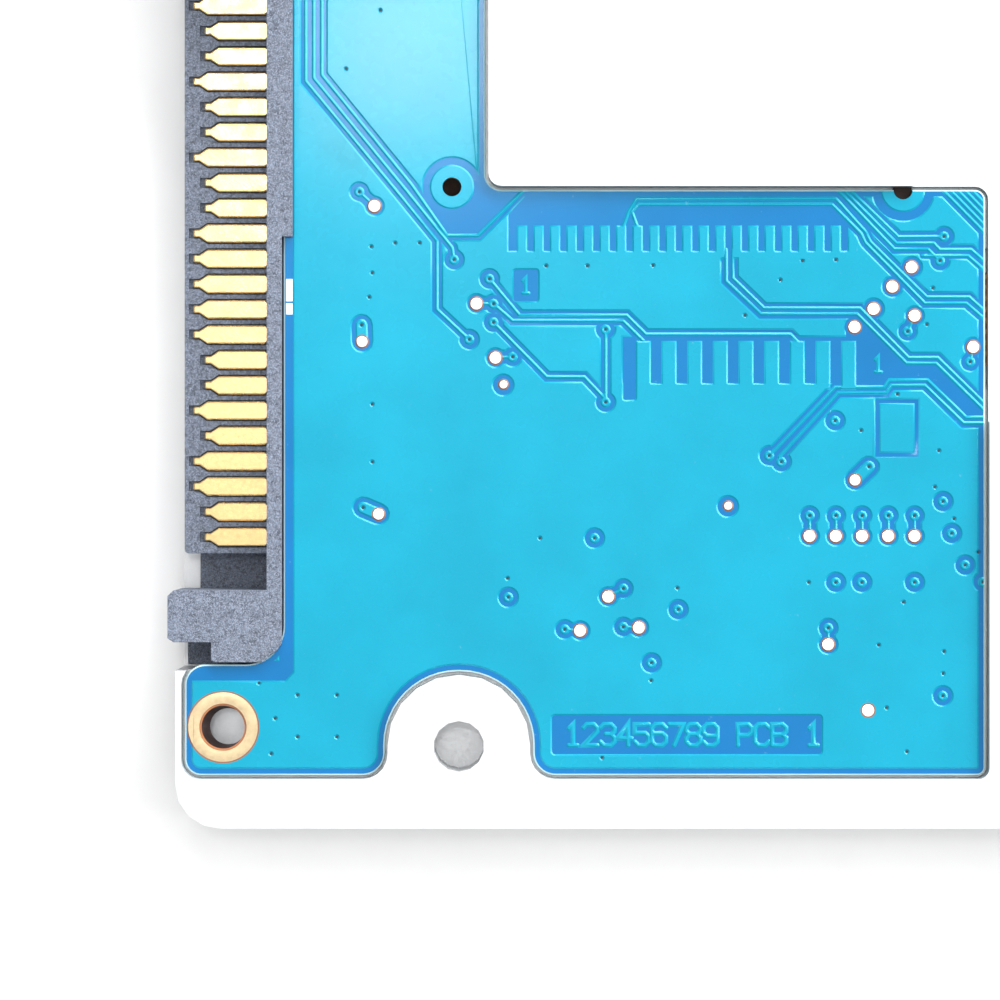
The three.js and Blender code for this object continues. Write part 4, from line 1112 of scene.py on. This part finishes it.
class HDD_OT_stage(bpy.types.Operator):
    """Lays the pale floor and sets the lights and the camera"""

    bl_idname = "hdd.stage"
    bl_label = "Stage"

    def execute(self, context):
        settings = context.scene.hdd_stage
        scene = context.scene
        bpy.ops.object.select_all(action="DESELECT")
        bpy.ops.mesh.primitive_plane_add(size=4, location=(0, 0, 0))
        floor = context.object
        floor.name = "floor"
        ground = Finish("floor_paper", tuple(settings.floor_colour), 0.8)
        ground.colour(ground.mixed(ground.ramp(ground.noise(400, 2), 0.3, 0.7),
                                   shade(settings.floor_colour, 0.99), shade(settings.floor_colour, 1.01)))
        floor.data.materials.append(ground.material)

        middle = Vector((*VIEW_CENTRE, BOARD_TOP)) * MM
        camera = bpy.data.objects.new("camera", bpy.data.cameras.new("camera"))
        scene.collection.objects.link(camera)
        camera.location = middle + Vector((0, 0, settings.camera_distance))
        camera.data.sensor_width = 36
        camera.data.lens = 36 * settings.camera_distance / settings.view_width
        camera.data.clip_end = 10
        scene.camera = camera

        world = bpy.data.worlds.new("white_room")
        world.use_nodes = True
        world.node_tree.nodes["Background"].inputs["Color"].default_value = (1, 1, 1, 1)
        world.node_tree.nodes["Background"].inputs["Strength"].default_value = settings.room_light
        scene.world = world

        def lamp(name, kind, place, aim):
            light = bpy.data.objects.new(name, bpy.data.lights.new(name, kind))
            scene.collection.objects.link(light)
            light.location = place
            light.rotation_euler = (Vector(aim) - Vector(place)).to_track_quat("-Z", "Y").to_euler()
            return light

        def soft_box(name, place, aim, width, depth, brightness):
            light = lamp(name, "AREA", place, aim)
            light.data.shape = "RECTANGLE"
            light.data.size, light.data.size_y = width, depth
            light.data.energy = brightness * math.pi * width * depth

        soft_box("overhead_panel", (-0.03, -0.02, 1.3), (-0.03, -0.02, 0), 1.7, 1.7, settings.panel_light)
        soft_box("key", (0.565, 0.565, 0.6), (0, 0, 0), 2.4, 0.3, settings.key_light)
        soft_box("strip", (-0.057, 0.115, 0.9), (-0.057, 0.115, 0), 0.06, 0.066, settings.strip_light)
        scene.view_settings.view_transform = "Standard"
        return {"FINISHED"}


class HDD_PT_pieces(bpy.types.Panel):
    """Lists the operators that finish the drive"""

    bl_idname = "HDD_PT_pieces"
    bl_label = "Hard Disk Drive"
    bl_space_type = "VIEW_3D"
    bl_region_type = "UI"
    bl_category = "Disk Drive"

    def draw(self, context):
        for group in ("hdd_board", "hdd_connector", "hdd_stage"):
            box = self.layout.box()
            settings = getattr(context.scene, group)
            for name in settings.__annotations__:
                box.prop(settings, name)
        for operator in OPERATORS:
            self.layout.operator(operator.bl_idname)


OPERATORS = (HDD_OT_board, HDD_OT_shade_pad, HDD_OT_connector, HDD_OT_casting, HDD_OT_cover, HDD_OT_disk_stack,
             HDD_OT_actuator, HDD_OT_stage)
CLASSES = (BoardSettings, ConnectorSettings, StageSettings, *OPERATORS, HDD_PT_pieces)


def register():
    for cls in CLASSES:
        bpy.utils.register_class(cls)
    bpy.types.Scene.hdd_board = PointerProperty(type=BoardSettings)
    bpy.types.Scene.hdd_connector = PointerProperty(type=ConnectorSettings)
    bpy.types.Scene.hdd_stage = PointerProperty(type=StageSettings)


def unregister():
    for name in ("hdd_stage", "hdd_connector", "hdd_board"):
        delattr(bpy.types.Scene, name)
    for cls in reversed(CLASSES):
        bpy.utils.unregister_class(cls)


def main():
    register()
    bpy.ops.hdd.board()
    bpy.ops.hdd.foam_pad()
    bpy.ops.hdd.connector()
    bpy.ops.hdd.casting()
    bpy.ops.hdd.cover()
    bpy.ops.hdd.disk_stack()
    bpy.ops.hdd.actuator()
    bpy.ops.hdd.stage()


if __name__ == "__main__":
    main()
